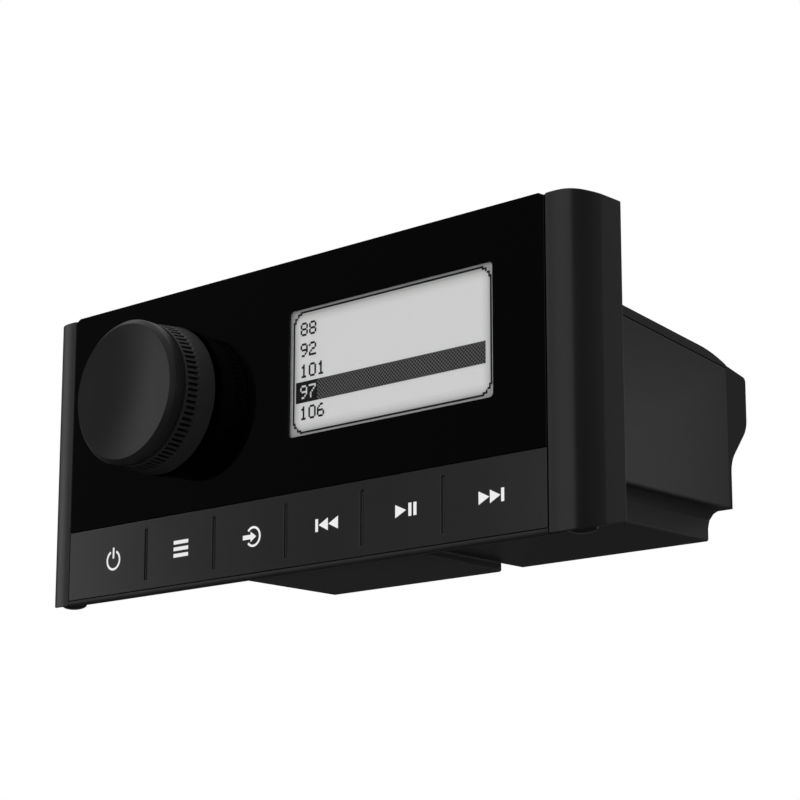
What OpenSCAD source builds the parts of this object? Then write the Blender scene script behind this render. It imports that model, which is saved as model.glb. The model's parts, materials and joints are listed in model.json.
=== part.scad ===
// Compact marine stereo: a gloss front with a large knob, a small display and a strip of six keys,
// on a sealed housing that passes through a cut-out in a panel.
// The origin is the centre of the mounting plane, the back face of the flange.
// The front faces -Y, +X is to the right seen from the front and +Z is up. Sizes are in millimetres.

/* [Front] */
// Overall width over the end caps
front_w = 174.4; // [173:0.2:177]
// Height of the front
front_h = 76; // [75:0.5:79]
// Depth from the gloss face back to the mounting plane
front_depth = 16; // [15.9:0.1:18]
// Width of each end cap with its seam
cap_w = 9.2; // [9:0.1:9.6]
// Rise of the underside from the gloss face back to the mounting plane
underside_rise = 3.6; // [3:0.1:3.8]
// Thickness of the gloss panel
panel_t = 1.6; // [1.2:0.1:1.7]
// Bevel at the panel's upper corners, where a tool lifts the end caps
panel_notch = 1.6; // [0.8:0.1:2.4]
// Wall thickness of the bezel
bezel_wall = 1.8; // [1.5:0.1:1.9]
// Thickness of the mounting flange
flange_t = 3; // [2.8:0.1:3.1]

/* [End caps] */
// Plan radius of the rounded ends
cap_r = 8.5; // [6:0.1:8.9]
// Wall thickness of the end caps
cap_wall = 1.8; // [1.4:0.1:2]
// Step from the panel's edge down to the cap's edge
cap_step = 0.4; // [0.2:0.1:0.8]
// Width of each tab that holds a cap
tab_w = 6; // [4:0.5:8]
// Thickness of each tab that holds a cap
tab_t = 1.6; // [1.2:0.1:2]
// Height of the tabs above and below the middle
tab_z = 11; // [9:0.5:14]
// Depth of the finger lip under each cap
lip_d = 3.5; // [2:0.5:5]
// Height of the finger lip under each cap
lip_h = 1; // [0.6:0.1:1.4]

/* [Keys] */
// Height of the key strip
key_h = 17.4; // [16.5:0.1:17.8]
// Height of the bezel's lip below the keys
key_lip = 1.7; // [1.6:0.1:2]
// Extra width of each outer key over a middle key
outer_key_more = 4.8; // [3:0.1:6]
// Thickness of a key's face
key_t = 2.2; // [1.8:0.1:2.4]
// Hairline seam round a key
key_seam = 0.15; // [0.1:0.01:0.3]
// Width of the groove between two keys
groove_w = 1; // [0.6:0.1:1.6]
// Height of the groove between two keys
groove_h = 12.9; // [10:0.1:15]
// Depth of the groove between two keys
groove_d = 0.9; // [0.5:0.1:1.2]
// Thickness of the silicone mat behind the keys
mat_t = 1; // [0.8:0.1:1.2]

/* [Display] */
// Width of the display opening
display_w = 62.6; // [60:0.2:63]
// Height of the display opening
display_h = 30.7; // [28:0.1:31]
// Distance of the display's middle in from the panel's right side
display_in = 46.1; // [45.5:0.1:46.5]
// Distance of the display's middle below the front's top
display_down = 28.1; // [27.5:0.1:29]
// Width of the grey frame seen round the display
display_border = 1; // [0.6:0.1:1.5]
// Thickness of the clear window over the display
window_t = 0.5; // [0.4:0.1:0.8]
// Thickness of the display glass
glass_t = 2.2; // [1.8:0.1:2.6]
// Thickness of the backlight
backlight_t = 3; // [2:0.1:3.4]

/* [Knob] */
// Distance of the knob's axis in from the panel's left side
knob_in = 35.8; // [34:0.1:38]
// Distance of the knob's axis below the front's top
knob_down = 27.7; // [26:0.1:29]
// Diameter of the knob's front disc
knob_d = 36.2; // [35.6:0.1:37]
// Diameter of the grip at its rear edge
grip_d = 37.4; // [36.8:0.1:38.4]
// Diameter of the seam behind the front disc
neck_d = 34.6; // [33.6:0.1:35]
// Distance that the knob stands out from the gloss face
knob_reach = 14.5; // [14:0.1:16]
// Gap behind the knob
knob_gap = 1; // [0.9:0.1:1.4]
// Thickness of the front disc
knob_cap_t = 3.7; // [3:0.1:4]
// Depth of the dish in the front disc
knob_dish = 1.8; // [1:0.1:2.4]
// Width of the bevelled rim round the dish
knob_rim = 1.5; // [1:0.1:2.5]
// Number of slots round the grip
slot_count = 64; // [40:4:72]
// Length of a slot
slot_l = 3.3; // [2.5:0.1:4]
// Width of a slot
slot_w = 0.8; // [0.5:0.1:1]
// Depth of a slot
slot_d = 0.6; // [0.4:0.1:0.8]

/* [Encoder] */
// Side of the square encoder body
encoder_w = 13; // [12:0.5:14]
// Height of the encoder body, which sets the board behind the bezel
encoder_h = 6.5; // [6.3:0.1:6.6]
// Diameter of the encoder's bushing
bushing_d = 9; // [8:0.5:9.5]
// Diameter of the encoder's shaft
shaft_d = 6; // [5.5:0.1:6.2]
// Radial clearance of the turning and sliding shaft
running = 0.05; // [0.02:0.01:0.1]

/* [Housing] */
// Distance of the housing's sides in from the panel's sides
housing_in = 3; // [2.8:0.1:4]
// Depth of the housing behind the mounting plane
housing_d = 57; // [56:0.5:66]
// Distance of the housing's top, at the mounting plane, below the front's top
housing_down = 16.4; // [16:0.1:17]
// Fall of the housing's top towards the rear
top_fall = 6.5; // [4:0.1:7]
// Height of the housing's floor above the front's bottom
floor_up = 16.6; // [16:0.1:16.7]
// Wall thickness of the housing
housing_wall = 2.2; // [1.8:0.1:2.3]
// Thickness of the top cover
cover_t = 2.2; // [1.8:0.1:2.6]
// Distance of the right-hand lower box in from the housing's right side
right_box_in = 6.3; // [6:0.1:7]
// Height of the right-hand lower box above the front's bottom
right_box_up = 9.5; // [9:0.1:9.6]
// Distance of the left-hand lower box in from the housing's left side
left_box_in = 30; // [25:0.5:31]
// Height of the left-hand lower box above the front's bottom
left_box_up = 7.1; // [7:0.1:8]
// Length of the left-hand lower box behind the mounting plane
left_box_d = 47.3; // [44:0.1:50]
// Radius of the hollow blend under the right-hand ledge
ledge_r = 4; // [2:0.1:5]

/* [Mounting] */
// Distance of the mounting holes in from the ends of the front
hole_in = 5.2; // [4.8:0.1:5.8]
// Distance of the upper mounting holes below the front's top
hole_down = 11; // [10:0.5:14]
// Diameter of the mounting holes
hole_d = 4.4; // [4:0.1:4.6]
// Width of the gasket in the back of the flange
gasket_w = 2; // [1.4:0.1:2.1]
// Depth of the gasket's groove
gasket_d = 1.2; // [0.8:0.1:1.4]

/* [Heat sink] */
// Depth of the heat sink behind the housing
sink_d = 8.2; // [7.4:0.1:9]
// Thickness of the heat sink behind its slots
sink_base = 2.8; // [2.4:0.1:3.4]
// Fall of the heat sink's top towards the rear
sink_fall = 1.5; // [0.8:0.1:2]
// Height of the hump's lower curve above the line sockets
sink_rise = 12; // [11:0.1:12.4]
// Radius of the curve under the hump
sink_r = 6.5; // [5:0.1:7]
// Radius of the hollow curve that meets the back plate
sink_hollow_r = 7.8; // [6:0.1:8.4]
// Slope of the hump's underside from upright, in degrees
sink_slope = 38; // [36:1:42]
// Thickness of the heat sink's back plate
sink_plate_t = 1.2; // [1:0.1:1.4]
// Distance between fins
fin_pitch = 6.2; // [5:0.2:8]
// Width of the slots between fins
fin_gap = 3.2; // [2.4:0.2:3.6]
// Width of the plain block at each end of the heat sink
sink_end = 13; // [12:0.5:16]

/* [Rear sockets] */
// Distance of the harness socket's middle in from the right-hand lower box's side
harness_in = 23.4; // [23.2:0.1:23.6]
// Height of the harness and antenna sockets above the right-hand lower box's bottom
harness_up = 9.5; // [9.3:0.1:9.7]
// Pitch of the harness pins
pin_pitch = 3.8; // [3.6:0.1:3.8]
// Bore of the antenna socket
antenna_d = 9.4; // [9:0.1:9.6]
// Height of the line sockets above the housing's floor
line_up = 6.4; // [6.3:0.1:6.5]
// Bore of a line socket
line_d = 3.2; // [3:0.1:3.4]
// Distance that the sockets stand out behind the housing
socket_reach = 10; // [9:0.5:12]

/* [Hidden] */
// travels and clearances
knob_travel = 0.6;
seam = 0.15;
fit = 0.1;
slack = 0.3;

// planes of the front, from the gloss face back
front_y = -front_depth;
wall_y = front_y + panel_t;
inner_y = wall_y + bezel_wall;
board_y = inner_y + encoder_h;
flange_y = -flange_t;
key_back_y = front_y + key_t;
mat_back_y = inner_y + mat_t;

// outline of the front
end_x = front_w / 2;
panel_x = end_x - cap_w;
wall_x = panel_x - bezel_wall;
cap_x = panel_x + seam;
cap_back_y = -slack;
top_z = front_h / 2;
bottom_z = -front_h / 2;
function under_z(y) = bottom_z + underside_rise * (y - front_y) / front_depth;
ear_x = end_x - cap_wall - slack;
ear_top = top_z - cap_step - cap_wall - slack;
ear_bottom = under_z(0) + cap_step + cap_wall + slack;
tab_in = 1.5;
tab_x = cap_x + tab_in;
hole_x = end_x - hole_in;
hole_z = top_z - hole_down;

// keys
key_bottom = bottom_z + key_lip;
key_top = key_bottom + key_h;
key_mid = (key_bottom + key_top) / 2;
panel_bottom = key_top + seam;
key_pitch = (panel_x - outer_key_more) / 3;
key_edges = [-panel_x, -2 * key_pitch, -key_pitch, 0, key_pitch, 2 * key_pitch, panel_x];
function key_x(i) = (key_edges[i] + key_edges[i + 1]) / 2;
stem_inset = 1.4;
mat_lap = 1.6;
plunger_r = 3.2;
switch_w = 6;
switch_h = 1.6;
button_r = 1.7;
button_h = 0.7;
switch_y = board_y - switch_h;
button_y = switch_y - button_h;

// display stack
display_x = panel_x - display_in;
display_z = top_z - display_down;
display_r = 1;
display_lap = 0.8;
lcd_frame_t = 0.3;
stack_w = display_w + 2 * display_lap;
window_y = front_y + window_t;
lcd_y = window_y + lcd_frame_t;
backlight_y = lcd_y + glass_t;
carrier_y = backlight_y + backlight_t;
carrier_rim = 5;

// boards and the screws that hold them
board_t = 1.6;
board_top = top_z - 7.8;
board_bottom = bottom_z + 5.4;
board_step_z = panel_bottom + 0.75;
board_x = wall_x - 1.2;
boss_r = 3;
screw_r = 1.2;
screw_head_r = 2.2;
screw_head_h = 1.2;
screw_bite = 5;
front_boss_x = wall_x - 5;
middle_boss_x = display_x - stack_w / 2 - 7.8;
front_boss_low = panel_bottom + 5.75;
front_boss_high = top_z - 11.5;
front_bosses = [for (x = [-front_boss_x, middle_boss_x, front_boss_x],
    z = [front_boss_low, front_boss_high]) [x, z]];

// screws between flange and bezel, clear of the gasket ring in the back of the flange
gasket_gap = 0.6;
gasket_x = panel_x - housing_in + gasket_gap;
bezel_boss_r = 2.8;
bezel_head_r = 2.5;
bezel_head_h = 1.5;
bezel_bite = 7;
low_boss_x = gasket_x - bezel_head_r - 0.5;
low_boss_z = bottom_z + 10.5;
high_boss_x = panel_x - 18;
high_boss_z = top_z - bezel_wall - bezel_boss_r - 0.1;
bezel_bosses = [[-high_boss_x, high_boss_z], [0, high_boss_z], [high_boss_x, high_boss_z],
    [-low_boss_x, low_boss_z], [low_boss_x, low_boss_z]];
board_low_x = low_boss_x - bezel_boss_r - 0.6;
seal_inset = 0.5;
seal_w = 0.9;
seal_d = 0.8;

// knob and encoder
knob_x = knob_in - panel_x;
knob_z = top_z - knob_down;
knob_front_y = front_y - knob_reach;
neck_y = knob_front_y + knob_cap_t;
neck_l = 0.5;
grip_y = neck_y + neck_l;
grip_back_y = front_y - knob_gap;
grip_front_r = knob_d / 2 - 0.2;
core_r = 15.5;
core_wall = 1.8;
core_web = 1.7;
hub_r = 5.5;
bushing_proud = 4.2;
bushing_y = front_y - bushing_proud;
hub_back_y = bushing_y - knob_travel - 0.4;
shaft_r = shaft_d / 2;
shaft_front_y = grip_y + fit;
rotor_room_r = encoder_w / 2 - 1.3;
rotor_front_wall = 1.2;
rotor_back_wall = 0.8;
rotor_t = 1.4;
dome_h = 1.4;
shaft_back_y = board_y - rotor_back_wall - dome_h;
washer_r = 7;
washer_t = 0.6;
nut_af = 12;
nut_t = 2.2;

// housing
housing_x = panel_x - housing_in;
housing_top = top_z - housing_down;
room_x = housing_x - housing_wall;
rear_y = housing_d;
room_y = rear_y - housing_wall;
floor_z = bottom_z + floor_up;
room_z = floor_z + housing_wall;
right_box_x = housing_x - right_box_in;
right_box_z = bottom_z + right_box_up;
left_box_x = left_box_in - housing_x;
left_box_z = bottom_z + left_box_up;
function lid_z(y) = housing_top - top_fall * y / housing_d - cover_t;
cover_curve = 11;
cover_drop = 0.7;
cover_screw_x = room_x - 2.6;
cover_screw_front = 12;
cover_screw_back = 16;
cover_screw_y = [cover_screw_front, rear_y - cover_screw_back];
cover_boss_r = 2.9;
cover_boss_h = 12;
cover_sink = 0.9;

// upper and lower sides of the gasket ring
gasket_top = housing_top + 1;
gasket_bottom = left_box_z - gasket_gap;

// main board and what stands on it
main_z = floor_z + 12.9;
main_t = 1.6;
main_top = main_z + main_t;
main_x = room_x - 0.8;
main_boss_x = room_x - 2.9;
main_boss_front = 7;
main_boss_back = 8;
main_boss_y = [main_boss_front, rear_y - main_boss_back];
main_boss_r = 2.6;
chip_x = 14;
chip_t = 5;
chip_h = lid_z(rear_y) - main_top - 4.8;
pad_x = 16;
pad_low = main_top + 1.9;
pad_high = lid_z(rear_y) - 3.4;
clamp_x = 23;
clamp_t = 1.5;
clamp_h = 6;
clamp_boss_x = 20;
clamp_z = (main_top + lid_z(rear_y)) / 2 + 1.5;
clamp_low = clamp_z - clamp_h / 2;
clamp_high = clamp_z + clamp_h / 2;
clamp_y = room_y - chip_t;
well_parts_y = 21;
capacitor_r = 6.2;
capacitor_h = 16;
capacitor_pitch = 15;
choke_r = 10;
choke_wire_r = 6;
tuner_in = 10;
tuner_w = 38;
tuner_y = 8;
tuner_d = 26;
tuner_h = 9;
ribbon_x = 10;
ribbon_edge = 2;
ribbon_t = 0.3;
ribbon_front_z = main_top + 5.9;
ribbon_socket_d = 5;
ribbon_socket_h = 3;
ribbon_front_y = board_y + board_t + ribbon_socket_h;
ribbon_back_y = 4;
ribbon_back_z = main_top + 1.5;

// rear sockets
shell_w = 8 * pin_pitch + 4;
shell_h = 2 * pin_pitch + 5;
shell_wall = 1.7;
shell_back = 5;
shell_floor = 2;
socket_rim = 1.5;
socket_flange_t = 1.5;
harness_x = right_box_x - harness_in;
harness_z = right_box_z + harness_up;
pin_w = 1;
pin_tail = 9;
pin_reach = 3.4;
pin_front_y = rear_y - pin_tail;
pin_back_y = rear_y + pin_reach;
harness_y = rear_y + socket_reach - 1.5;
line_count = 4;
line_z = floor_z + line_up;
line_r = 4.15;
line_flange_r = 4.4;
line_tail_r = 3.9;
line_insert_r = 3.4;
line_depth = 8.5;
antenna_wall = 1.3;
antenna_tail_r = 5.2;
antenna_flange_r = 7.2;
antenna_depth = socket_reach - 0.2;
antenna_seat_r = 3.6;
antenna_x = harness_x - shell_w / 2 - socket_rim - antenna_flange_r - 0.5;
digital_r = 3.1;
digital_bore_r = 2.05;
digital_hex_r = 4.6;
socket_y = rear_y + socket_reach;

// the smaller sockets share the width that the antenna socket leaves
antenna_room = 5.1;
digital_room = 1;
end_room = 5;
line_pitch = (antenna_x + housing_x - antenna_room - digital_room - end_room) / 6;
digital_x = antenna_x - antenna_room - line_pitch;
line_x = digital_x - digital_room - line_pitch;

// the lower boxes meet beside the antenna socket
split_x = antenna_x - antenna_flange_r + 1.3;
right_box_left = split_x - 1;

// heat sink
sink_top = lid_z(rear_y) + 0.5;
sink_corner = 1.2;
sink_low = line_z + line_flange_r + sink_rise;
sink_y = rear_y + sink_d;
plate_y = rear_y + sink_plate_t;
plate_gap = 0.9;
plate_low = line_z + digital_hex_r + plate_gap;
sink_straight = sink_d - sink_plate_t - (sink_r + sink_hollow_r) * (1 - cos(sink_slope));
sink_hollow_z = sink_low - (sink_r + sink_hollow_r) * sin(sink_slope) - sink_straight / tan(sink_slope);
fin_span = 2 * (housing_x - sink_end);
fin_slots = floor((fin_span - fin_gap) / fin_pitch) + 1;
sink_screw_x = housing_x - sink_end / 2;
sink_screw_aside = 2;
sink_screw_up = 8;
sink_screw_down = 5.5;
sink_screws = [[sink_screw_x - sink_screw_aside, line_z + line_flange_r + sink_screw_up],
    [sink_screw_x + sink_screw_aside, sink_top - sink_screw_down]];
sink_screw_r = 1.5;
sink_screw_bite = 4;

// A block between two corners
module block(x0, x1, y0, y1, z0, z1) {
    translate([x0, y0, z0]) cube([x1 - x0, y1 - y0, z1 - z0]);
}

// A round bar along Y at a place on the front
module bar_y(x, z, y0, y1, r) {
    translate([x, y0, z]) rotate([-90, 0, 0]) cylinder(h = y1 - y0, r = r, $fn = 48);
}

// A round bar along Z at a place on the plan
module bar_z(x, y, z0, z1, r) {
    translate([x, y, z0]) cylinder(h = z1 - z0, r = r, $fn = 48);
}

// A side profile, drawn as [y, z], run across from x0 to x1
module across(x0, x1) {
    translate([x0, 0, 0]) rotate([90, 0, 90]) linear_extrude(x1 - x0) children();
}

// A front view, drawn as [x, z], run back from y0 to y1
module facing(y0, y1) {
    translate([0, y1, 0]) rotate([90, 0, 0]) linear_extrude(y1 - y0) children();
}

// A profile drawn as [radius, y], turned about the knob's axis
module turned() {
    translate([knob_x, 0, knob_z]) rotate([-90, 0, 0]) rotate_extrude($fn = 96) children();
}

// A rectangle with round corners, about its middle
module rounded(w, h, r) {
    square([w - 2 * r, h], center = true);
    square([w, h - 2 * r], center = true);
    for (x = [-1, 1], z = [-1, 1]) translate([x * (w / 2 - r), z * (h / 2 - r)]) circle(r = r, $fn = 32);
}

// Points along an arc
function arc(u, v, r, from, to, steps = 8) =
    [for (i = [0 : steps]) let (a = from + (to - from) * i / steps) [u + r * cos(a), v + r * sin(a)]];

// The display's opening or one of the layers behind it
module display_area(grow) {
    translate([display_x, display_z]) rounded(display_w + 2 * grow, display_h + 2 * grow, display_r);
}

// The gloss face plate, with a rebate at the back that lets the display come close to its face
module lens_panel() {
    color([0.02, 0.02, 0.02]) difference() {
        facing(front_y, wall_y) polygon([
            [-panel_x, panel_bottom], [panel_x, panel_bottom],
            [panel_x, top_z - panel_notch / 2], [panel_x - panel_notch, top_z],
            [panel_notch - panel_x, top_z], [-panel_x, top_z - panel_notch / 2]]);
        facing(front_y - 1, wall_y + 1) display_area(0);
        facing(window_y, wall_y + 1) display_area(display_lap + fit);
        bar_y(knob_x, knob_z, front_y - 1, wall_y + 1, bushing_d / 2 + fit);
    }
}

// The clear window in the face plate
module display_window() {
    color([0.8, 0.85, 0.85, 0.3]) facing(front_y, window_y) display_area(-running);
}

// The grey frame that shows round the display
module lcd_frame() {
    color([0.5, 0.5, 0.5]) facing(window_y, lcd_y) difference() {
        display_area(display_lap);
        display_area(-display_border);
    }
}

// The display glass
module lcd_panel() {
    color([0.78, 0.8, 0.78]) facing(lcd_y, backlight_y) display_area(display_lap);
}

// The light guide behind the display glass
module backlight_plate() {
    color([0.9, 0.9, 0.9]) facing(backlight_y, carrier_y) display_area(display_lap);
}

// The frame that carries the display on the front board
module display_carrier() {
    color([0.15, 0.15, 0.15]) facing(carrier_y, board_y) difference() {
        display_area(display_lap);
        display_area(-carrier_rim);
    }
}

// The moulded frame behind the face plate and round the keys
module front_bezel() {
    color([0.07, 0.07, 0.07]) difference() {
        union() {
            difference() {
                across(-panel_x, panel_x) polygon([[front_y, bottom_z], [flange_y, under_z(flange_y)],
                    [flange_y, top_z], [front_y, top_z]]);
                block(-panel_x - 1, panel_x + 1, front_y - 1, wall_y, panel_bottom, top_z + 1);
                block(-panel_x - 1, panel_x + 1, front_y - 1, inner_y, key_bottom - seam, panel_bottom);
                across(-wall_x, wall_x) polygon([
                    [inner_y, under_z(inner_y) + bezel_wall],
                    [flange_y + 1, under_z(flange_y + 1) + bezel_wall],
                    [flange_y + 1, top_z - bezel_wall], [inner_y, top_z - bezel_wall]]);
                facing(wall_y - 1, inner_y + 1) display_area(display_lap + fit);
            }
            for (p = front_bosses) bar_y(p[0], p[1], inner_y, board_y, boss_r);
            for (p = bezel_bosses) bezel_boss(p[0], p[1]);
        }
        for (p = front_bosses) {
            bar_y(p[0], p[1], board_y - screw_bite - fit, board_y + 1, screw_r + running);
        }
        for (p = bezel_bosses) {
            bar_y(p[0], p[1], flange_y - bezel_bite - fit, flange_y + 1, screw_r + running);
        }
        bar_y(knob_x, knob_z, wall_y - 1, inner_y + 1, bushing_d / 2 + fit);
    }
}

// A boss for a screw through the flange: the upper ones stand on the front wall, the lower on a side wall
module bezel_boss(x, z) {
    bar_y(x, z, z > 0 ? inner_y - fit : mat_back_y + slack, flange_y, bezel_boss_r);
    if (z > 0) {
        block(x - 1, x + 1, inner_y - fit, flange_y, z, top_z - bezel_wall / 2);
    } else {
        side_x = sign(x) * panel_x;
        block(min(x, side_x), max(x, side_x), mat_back_y + slack, flange_y, z - 1, z + 1);
    }
}

// One key: a flat face with half a groove at each side that meets another key, and a stem to the mat
module key(i) {
    x0 = key_edges[i] + key_seam / 2;
    x1 = key_edges[i + 1] - key_seam / 2;
    color([0.1, 0.1, 0.1]) {
        difference() {
            block(x0, x1, front_y, key_back_y, key_bottom, key_top);
            for (x = [i > 0 ? x0 : undef, i < 5 ? x1 : undef]) if (x != undef) {
                block(x - groove_w / 2, x + groove_w / 2, front_y - 1, front_y + groove_d,
                    key_mid - groove_h / 2, key_mid + groove_h / 2);
            }
        }
        block(max(x0 + stem_inset, slack - wall_x), min(x1 - stem_inset, wall_x - slack),
            key_back_y, inner_y, key_bottom + stem_inset, key_top - stem_inset);
    }
}

module key_power() { key(0); }
module key_menu() { key(1); }
module key_source() { key(2); }
module key_previous() { key(3); }
module key_play() { key(4); }
module key_next() { key(5); }

// The silicone mat that seals the key opening, with a plunger for each switch
module key_mat() {
    color([0.2, 0.2, 0.22]) {
        block(fit - wall_x, wall_x - fit, inner_y, mat_back_y,
            under_z(mat_back_y) + bezel_wall + fit, panel_bottom + mat_lap);
        for (i = [0 : 5]) bar_y(key_x(i), key_mid, mat_back_y, button_y, plunger_r);
    }
}

// The push switches on the front board
module tact_switches() {
    color([0.6, 0.6, 0.62]) for (i = [0 : 5]) {
        block(key_x(i) - switch_w / 2, key_x(i) + switch_w / 2, switch_y, board_y,
            key_mid - switch_w / 2, key_mid + switch_w / 2);
        bar_y(key_x(i), key_mid, button_y, switch_y, button_r);
    }
}

// The board behind the front
module front_board() {
    color([0.05, 0.3, 0.15]) difference() {
        union() {
            block(-board_x, board_x, board_y, board_y + board_t, board_step_z, board_top);
            block(-board_low_x, board_low_x, board_y, board_y + board_t, board_bottom, board_step_z);
        }
        for (p = front_bosses) bar_y(p[0], p[1], board_y - 1, board_y + board_t + 1, screw_r + fit);
    }
}

// A pan-head screw along Y, with its head at y and its tip at the given end
module screw_y(x, z, y, tip, r, head_r, head_h) {
    dir = sign(tip - y);
    bar_y(x, z, min(y, tip), max(y, tip), r);
    bar_y(x, z, min(y, y - dir * head_h), max(y, y - dir * head_h), head_r);
}

// The screws that hold the front board on the bezel
module front_board_screws() {
    color([0.7, 0.7, 0.72]) for (p = front_bosses) {
        screw_y(p[0], p[1], board_y + board_t, board_y - screw_bite, screw_r, screw_head_r, screw_head_h);
    }
}

// The fixed part of the rotary encoder, with its threaded bushing
module encoder_body() {
    color([0.45, 0.45, 0.47]) difference() {
        union() {
            block(knob_x - encoder_w / 2, knob_x + encoder_w / 2, inner_y, board_y,
                knob_z - encoder_w / 2, knob_z + encoder_w / 2);
            bar_y(knob_x, knob_z, bushing_y, inner_y, bushing_d / 2);
        }
        bar_y(knob_x, knob_z, bushing_y - 1, inner_y + rotor_front_wall + 1, shaft_r + running);
        bar_y(knob_x, knob_z, inner_y + rotor_front_wall, board_y - rotor_back_wall, rotor_room_r);
    }
}

// The contact wheel in the encoder, which the shaft turns and slides through
module encoder_rotor() {
    rotor_y = inner_y + rotor_front_wall + slack;
    color([0.75, 0.6, 0.3]) turned() translate([shaft_r + running, rotor_y])
        square([rotor_room_r - slack - shaft_r - running, rotor_t]);
}

// The shaft that the knob sits on
module encoder_shaft() {
    color([0.7, 0.7, 0.72]) bar_y(knob_x, knob_z, shaft_front_y, shaft_back_y, shaft_r);
}

// The washer under the encoder's nut
module encoder_washer() {
    color([0.75, 0.75, 0.77]) turned() translate([bushing_d / 2 + fit, front_y - washer_t])
        square([washer_r - bushing_d / 2 - fit, washer_t]);
}

// The nut that holds the encoder on the front
module encoder_nut() {
    nut_y = front_y - washer_t - nut_t;
    color([0.75, 0.75, 0.77]) difference() {
        translate([knob_x, nut_y, knob_z]) rotate([-90, 0, 0])
            cylinder(h = nut_t, r = nut_af / 2 / cos(30), $fn = 6);
        bar_y(knob_x, knob_z, nut_y - 1, nut_y + nut_t + 1, bushing_d / 2 + running);
    }
}

// The snap dome that returns the pushed knob
module push_dome() {
    back = board_y - rotor_back_wall;
    color([0.8, 0.8, 0.82]) turned() polygon([[shaft_r + 0.9, back], [shaft_r + 0.9, back - 0.3],
        [1.4, shaft_back_y], [0, shaft_back_y], [0, shaft_back_y + 0.4], [1.2, shaft_back_y + 0.4],
        [shaft_r + 0.4, back]]);
}

// The knob's carrier: a hub on the shaft, a web and the skirt under the grip
module knob_core() {
    web_y = grip_y + core_web;
    color([0.06, 0.06, 0.06]) turned() polygon([
        [0, neck_y], [neck_d / 2, neck_y], [neck_d / 2, grip_y], [core_r, grip_y],
        [core_r, grip_back_y - slack], [core_r - core_wall, grip_back_y - slack],
        [core_r - core_wall, web_y], [hub_r, web_y], [hub_r, hub_back_y], [shaft_r, hub_back_y],
        [shaft_r, grip_y], [0, grip_y]]);
}

// The grip ring with its band of slots
module knob_grip() {
    slot_y = grip_y + 1;
    color([0.08, 0.08, 0.08]) difference() {
        turned() polygon([[core_r, grip_y], [grip_front_r, grip_y],
            [grip_d / 2, grip_back_y], [core_r, grip_back_y]]);
        translate([knob_x, 0, knob_z]) for (i = [0 : slot_count - 1]) rotate([0, i * 360 / slot_count, 0])
            block(grip_front_r - slot_d, grip_d, slot_y, slot_y + slot_l, -slot_w / 2, slot_w / 2);
    }
}

// The front disc with its dish and bevelled rim
module knob_cap() {
    dish_r = knob_d / 2 - knob_rim;
    ball_r = (dish_r * dish_r + knob_dish * knob_dish) / (2 * knob_dish);
    bevel = knob_rim / 2;
    color([0.09, 0.09, 0.09]) turned() polygon(concat(
        arc(0, knob_front_y + knob_dish - ball_r, ball_r, 90, 90 - asin(dish_r / ball_r), 12),
        [[knob_d / 2 - bevel, knob_front_y], [knob_d / 2, knob_front_y + bevel],
            [knob_d / 2, neck_y], [0, neck_y]]));
}

// The plan of an end cap, drawn as [x, y], drawn in by a wall
module cap_plan(wall) {
    x0 = cap_x - (wall > 0 ? 1 : 0);
    back = cap_back_y + (wall > 0 ? 1 : 0);
    middle = end_x - cap_r;
    translate([x0, front_y + wall]) square([middle - x0, back - front_y - wall]);
    translate([x0, front_y + cap_r]) square([end_x - wall - x0, back - front_y - cap_r]);
    translate([middle, front_y + cap_r]) circle(r = cap_r - wall, $fn = 64);
}

// The side view of an end cap, drawn in by a wall
module cap_side(wall) {
    back = cap_back_y + (wall > 0 ? 1 : 0);
    polygon([[front_y, under_z(front_y) + cap_step + wall], [back, under_z(back) + cap_step + wall],
        [back, top_z - cap_step - wall], [front_y, top_z - cap_step - wall]]);
}

// The cap's full outline, or the hollow inside it
module cap_form(wall) {
    intersection() {
        translate([0, 0, bottom_z]) linear_extrude(front_h) cap_plan(wall);
        across(cap_x - (wall > 0 ? 1 : 0), end_x + 1) cap_side(wall);
    }
}

// The right end cap: a hollow shell with two tabs for the flange and a finger lip below
module end_cap() {
    lip_y = front_y + 2;
    color([0.09, 0.09, 0.09]) {
        difference() {
            cap_form(0);
            cap_form(cap_wall);
        }
        for (z = [-tab_z, tab_z]) {
            block(tab_x, tab_x + tab_t, front_y + cap_wall - fit, -slack, z - tab_w / 2, z + tab_w / 2);
        }
        across(cap_x, end_x - cap_r / 2) polygon([
            [lip_y, under_z(lip_y) + cap_step + fit],
            [lip_y + lip_d, under_z(lip_y + lip_d) + cap_step + fit],
            [lip_y + lip_d, under_z(lip_y + lip_d) + cap_step - lip_h / 2],
            [lip_y, under_z(lip_y) + cap_step - lip_h / 2]]);
    }
}

module end_cap_right() { end_cap(); }
module end_cap_left() { mirror([1, 0, 0]) end_cap(); }

// A ring on the front view between two rectangles
module ring(x, low, high, w) {
    translate([-x, low]) difference() {
        square([2 * x, high - low]);
        translate([w, w]) square([2 * x - 2 * w, high - low - 2 * w]);
    }
}

// The seal's path under the bezel's rear edge
module seal_path() {
    ring(panel_x - seal_inset, under_z(flange_y) + seal_inset, top_z - seal_inset, seal_w);
}

// The gasket's path round the cut-out
module gasket_path() {
    ring(gasket_x + gasket_w, gasket_bottom - gasket_w, gasket_top + gasket_w, gasket_w);
}

// The seal between bezel and flange
module bezel_seal() {
    color([0.15, 0.15, 0.15]) facing(flange_y, flange_y + seal_d) seal_path();
}

// The screws that hold the bezel on the flange
module bezel_screws() {
    color([0.7, 0.7, 0.72]) for (p = bezel_bosses) {
        screw_y(p[0], p[1], -bezel_head_h, flange_y - bezel_bite, screw_r, bezel_head_r, bezel_head_h);
    }
}

// The outer form of the flange with its two ears
module flange_form() {
    across(-panel_x, panel_x) polygon([[flange_y, under_z(flange_y)], [0, under_z(0)],
        [0, top_z], [flange_y, top_z]]);
    block(-ear_x, ear_x, flange_y, 0, ear_bottom, ear_top);
}

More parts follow.
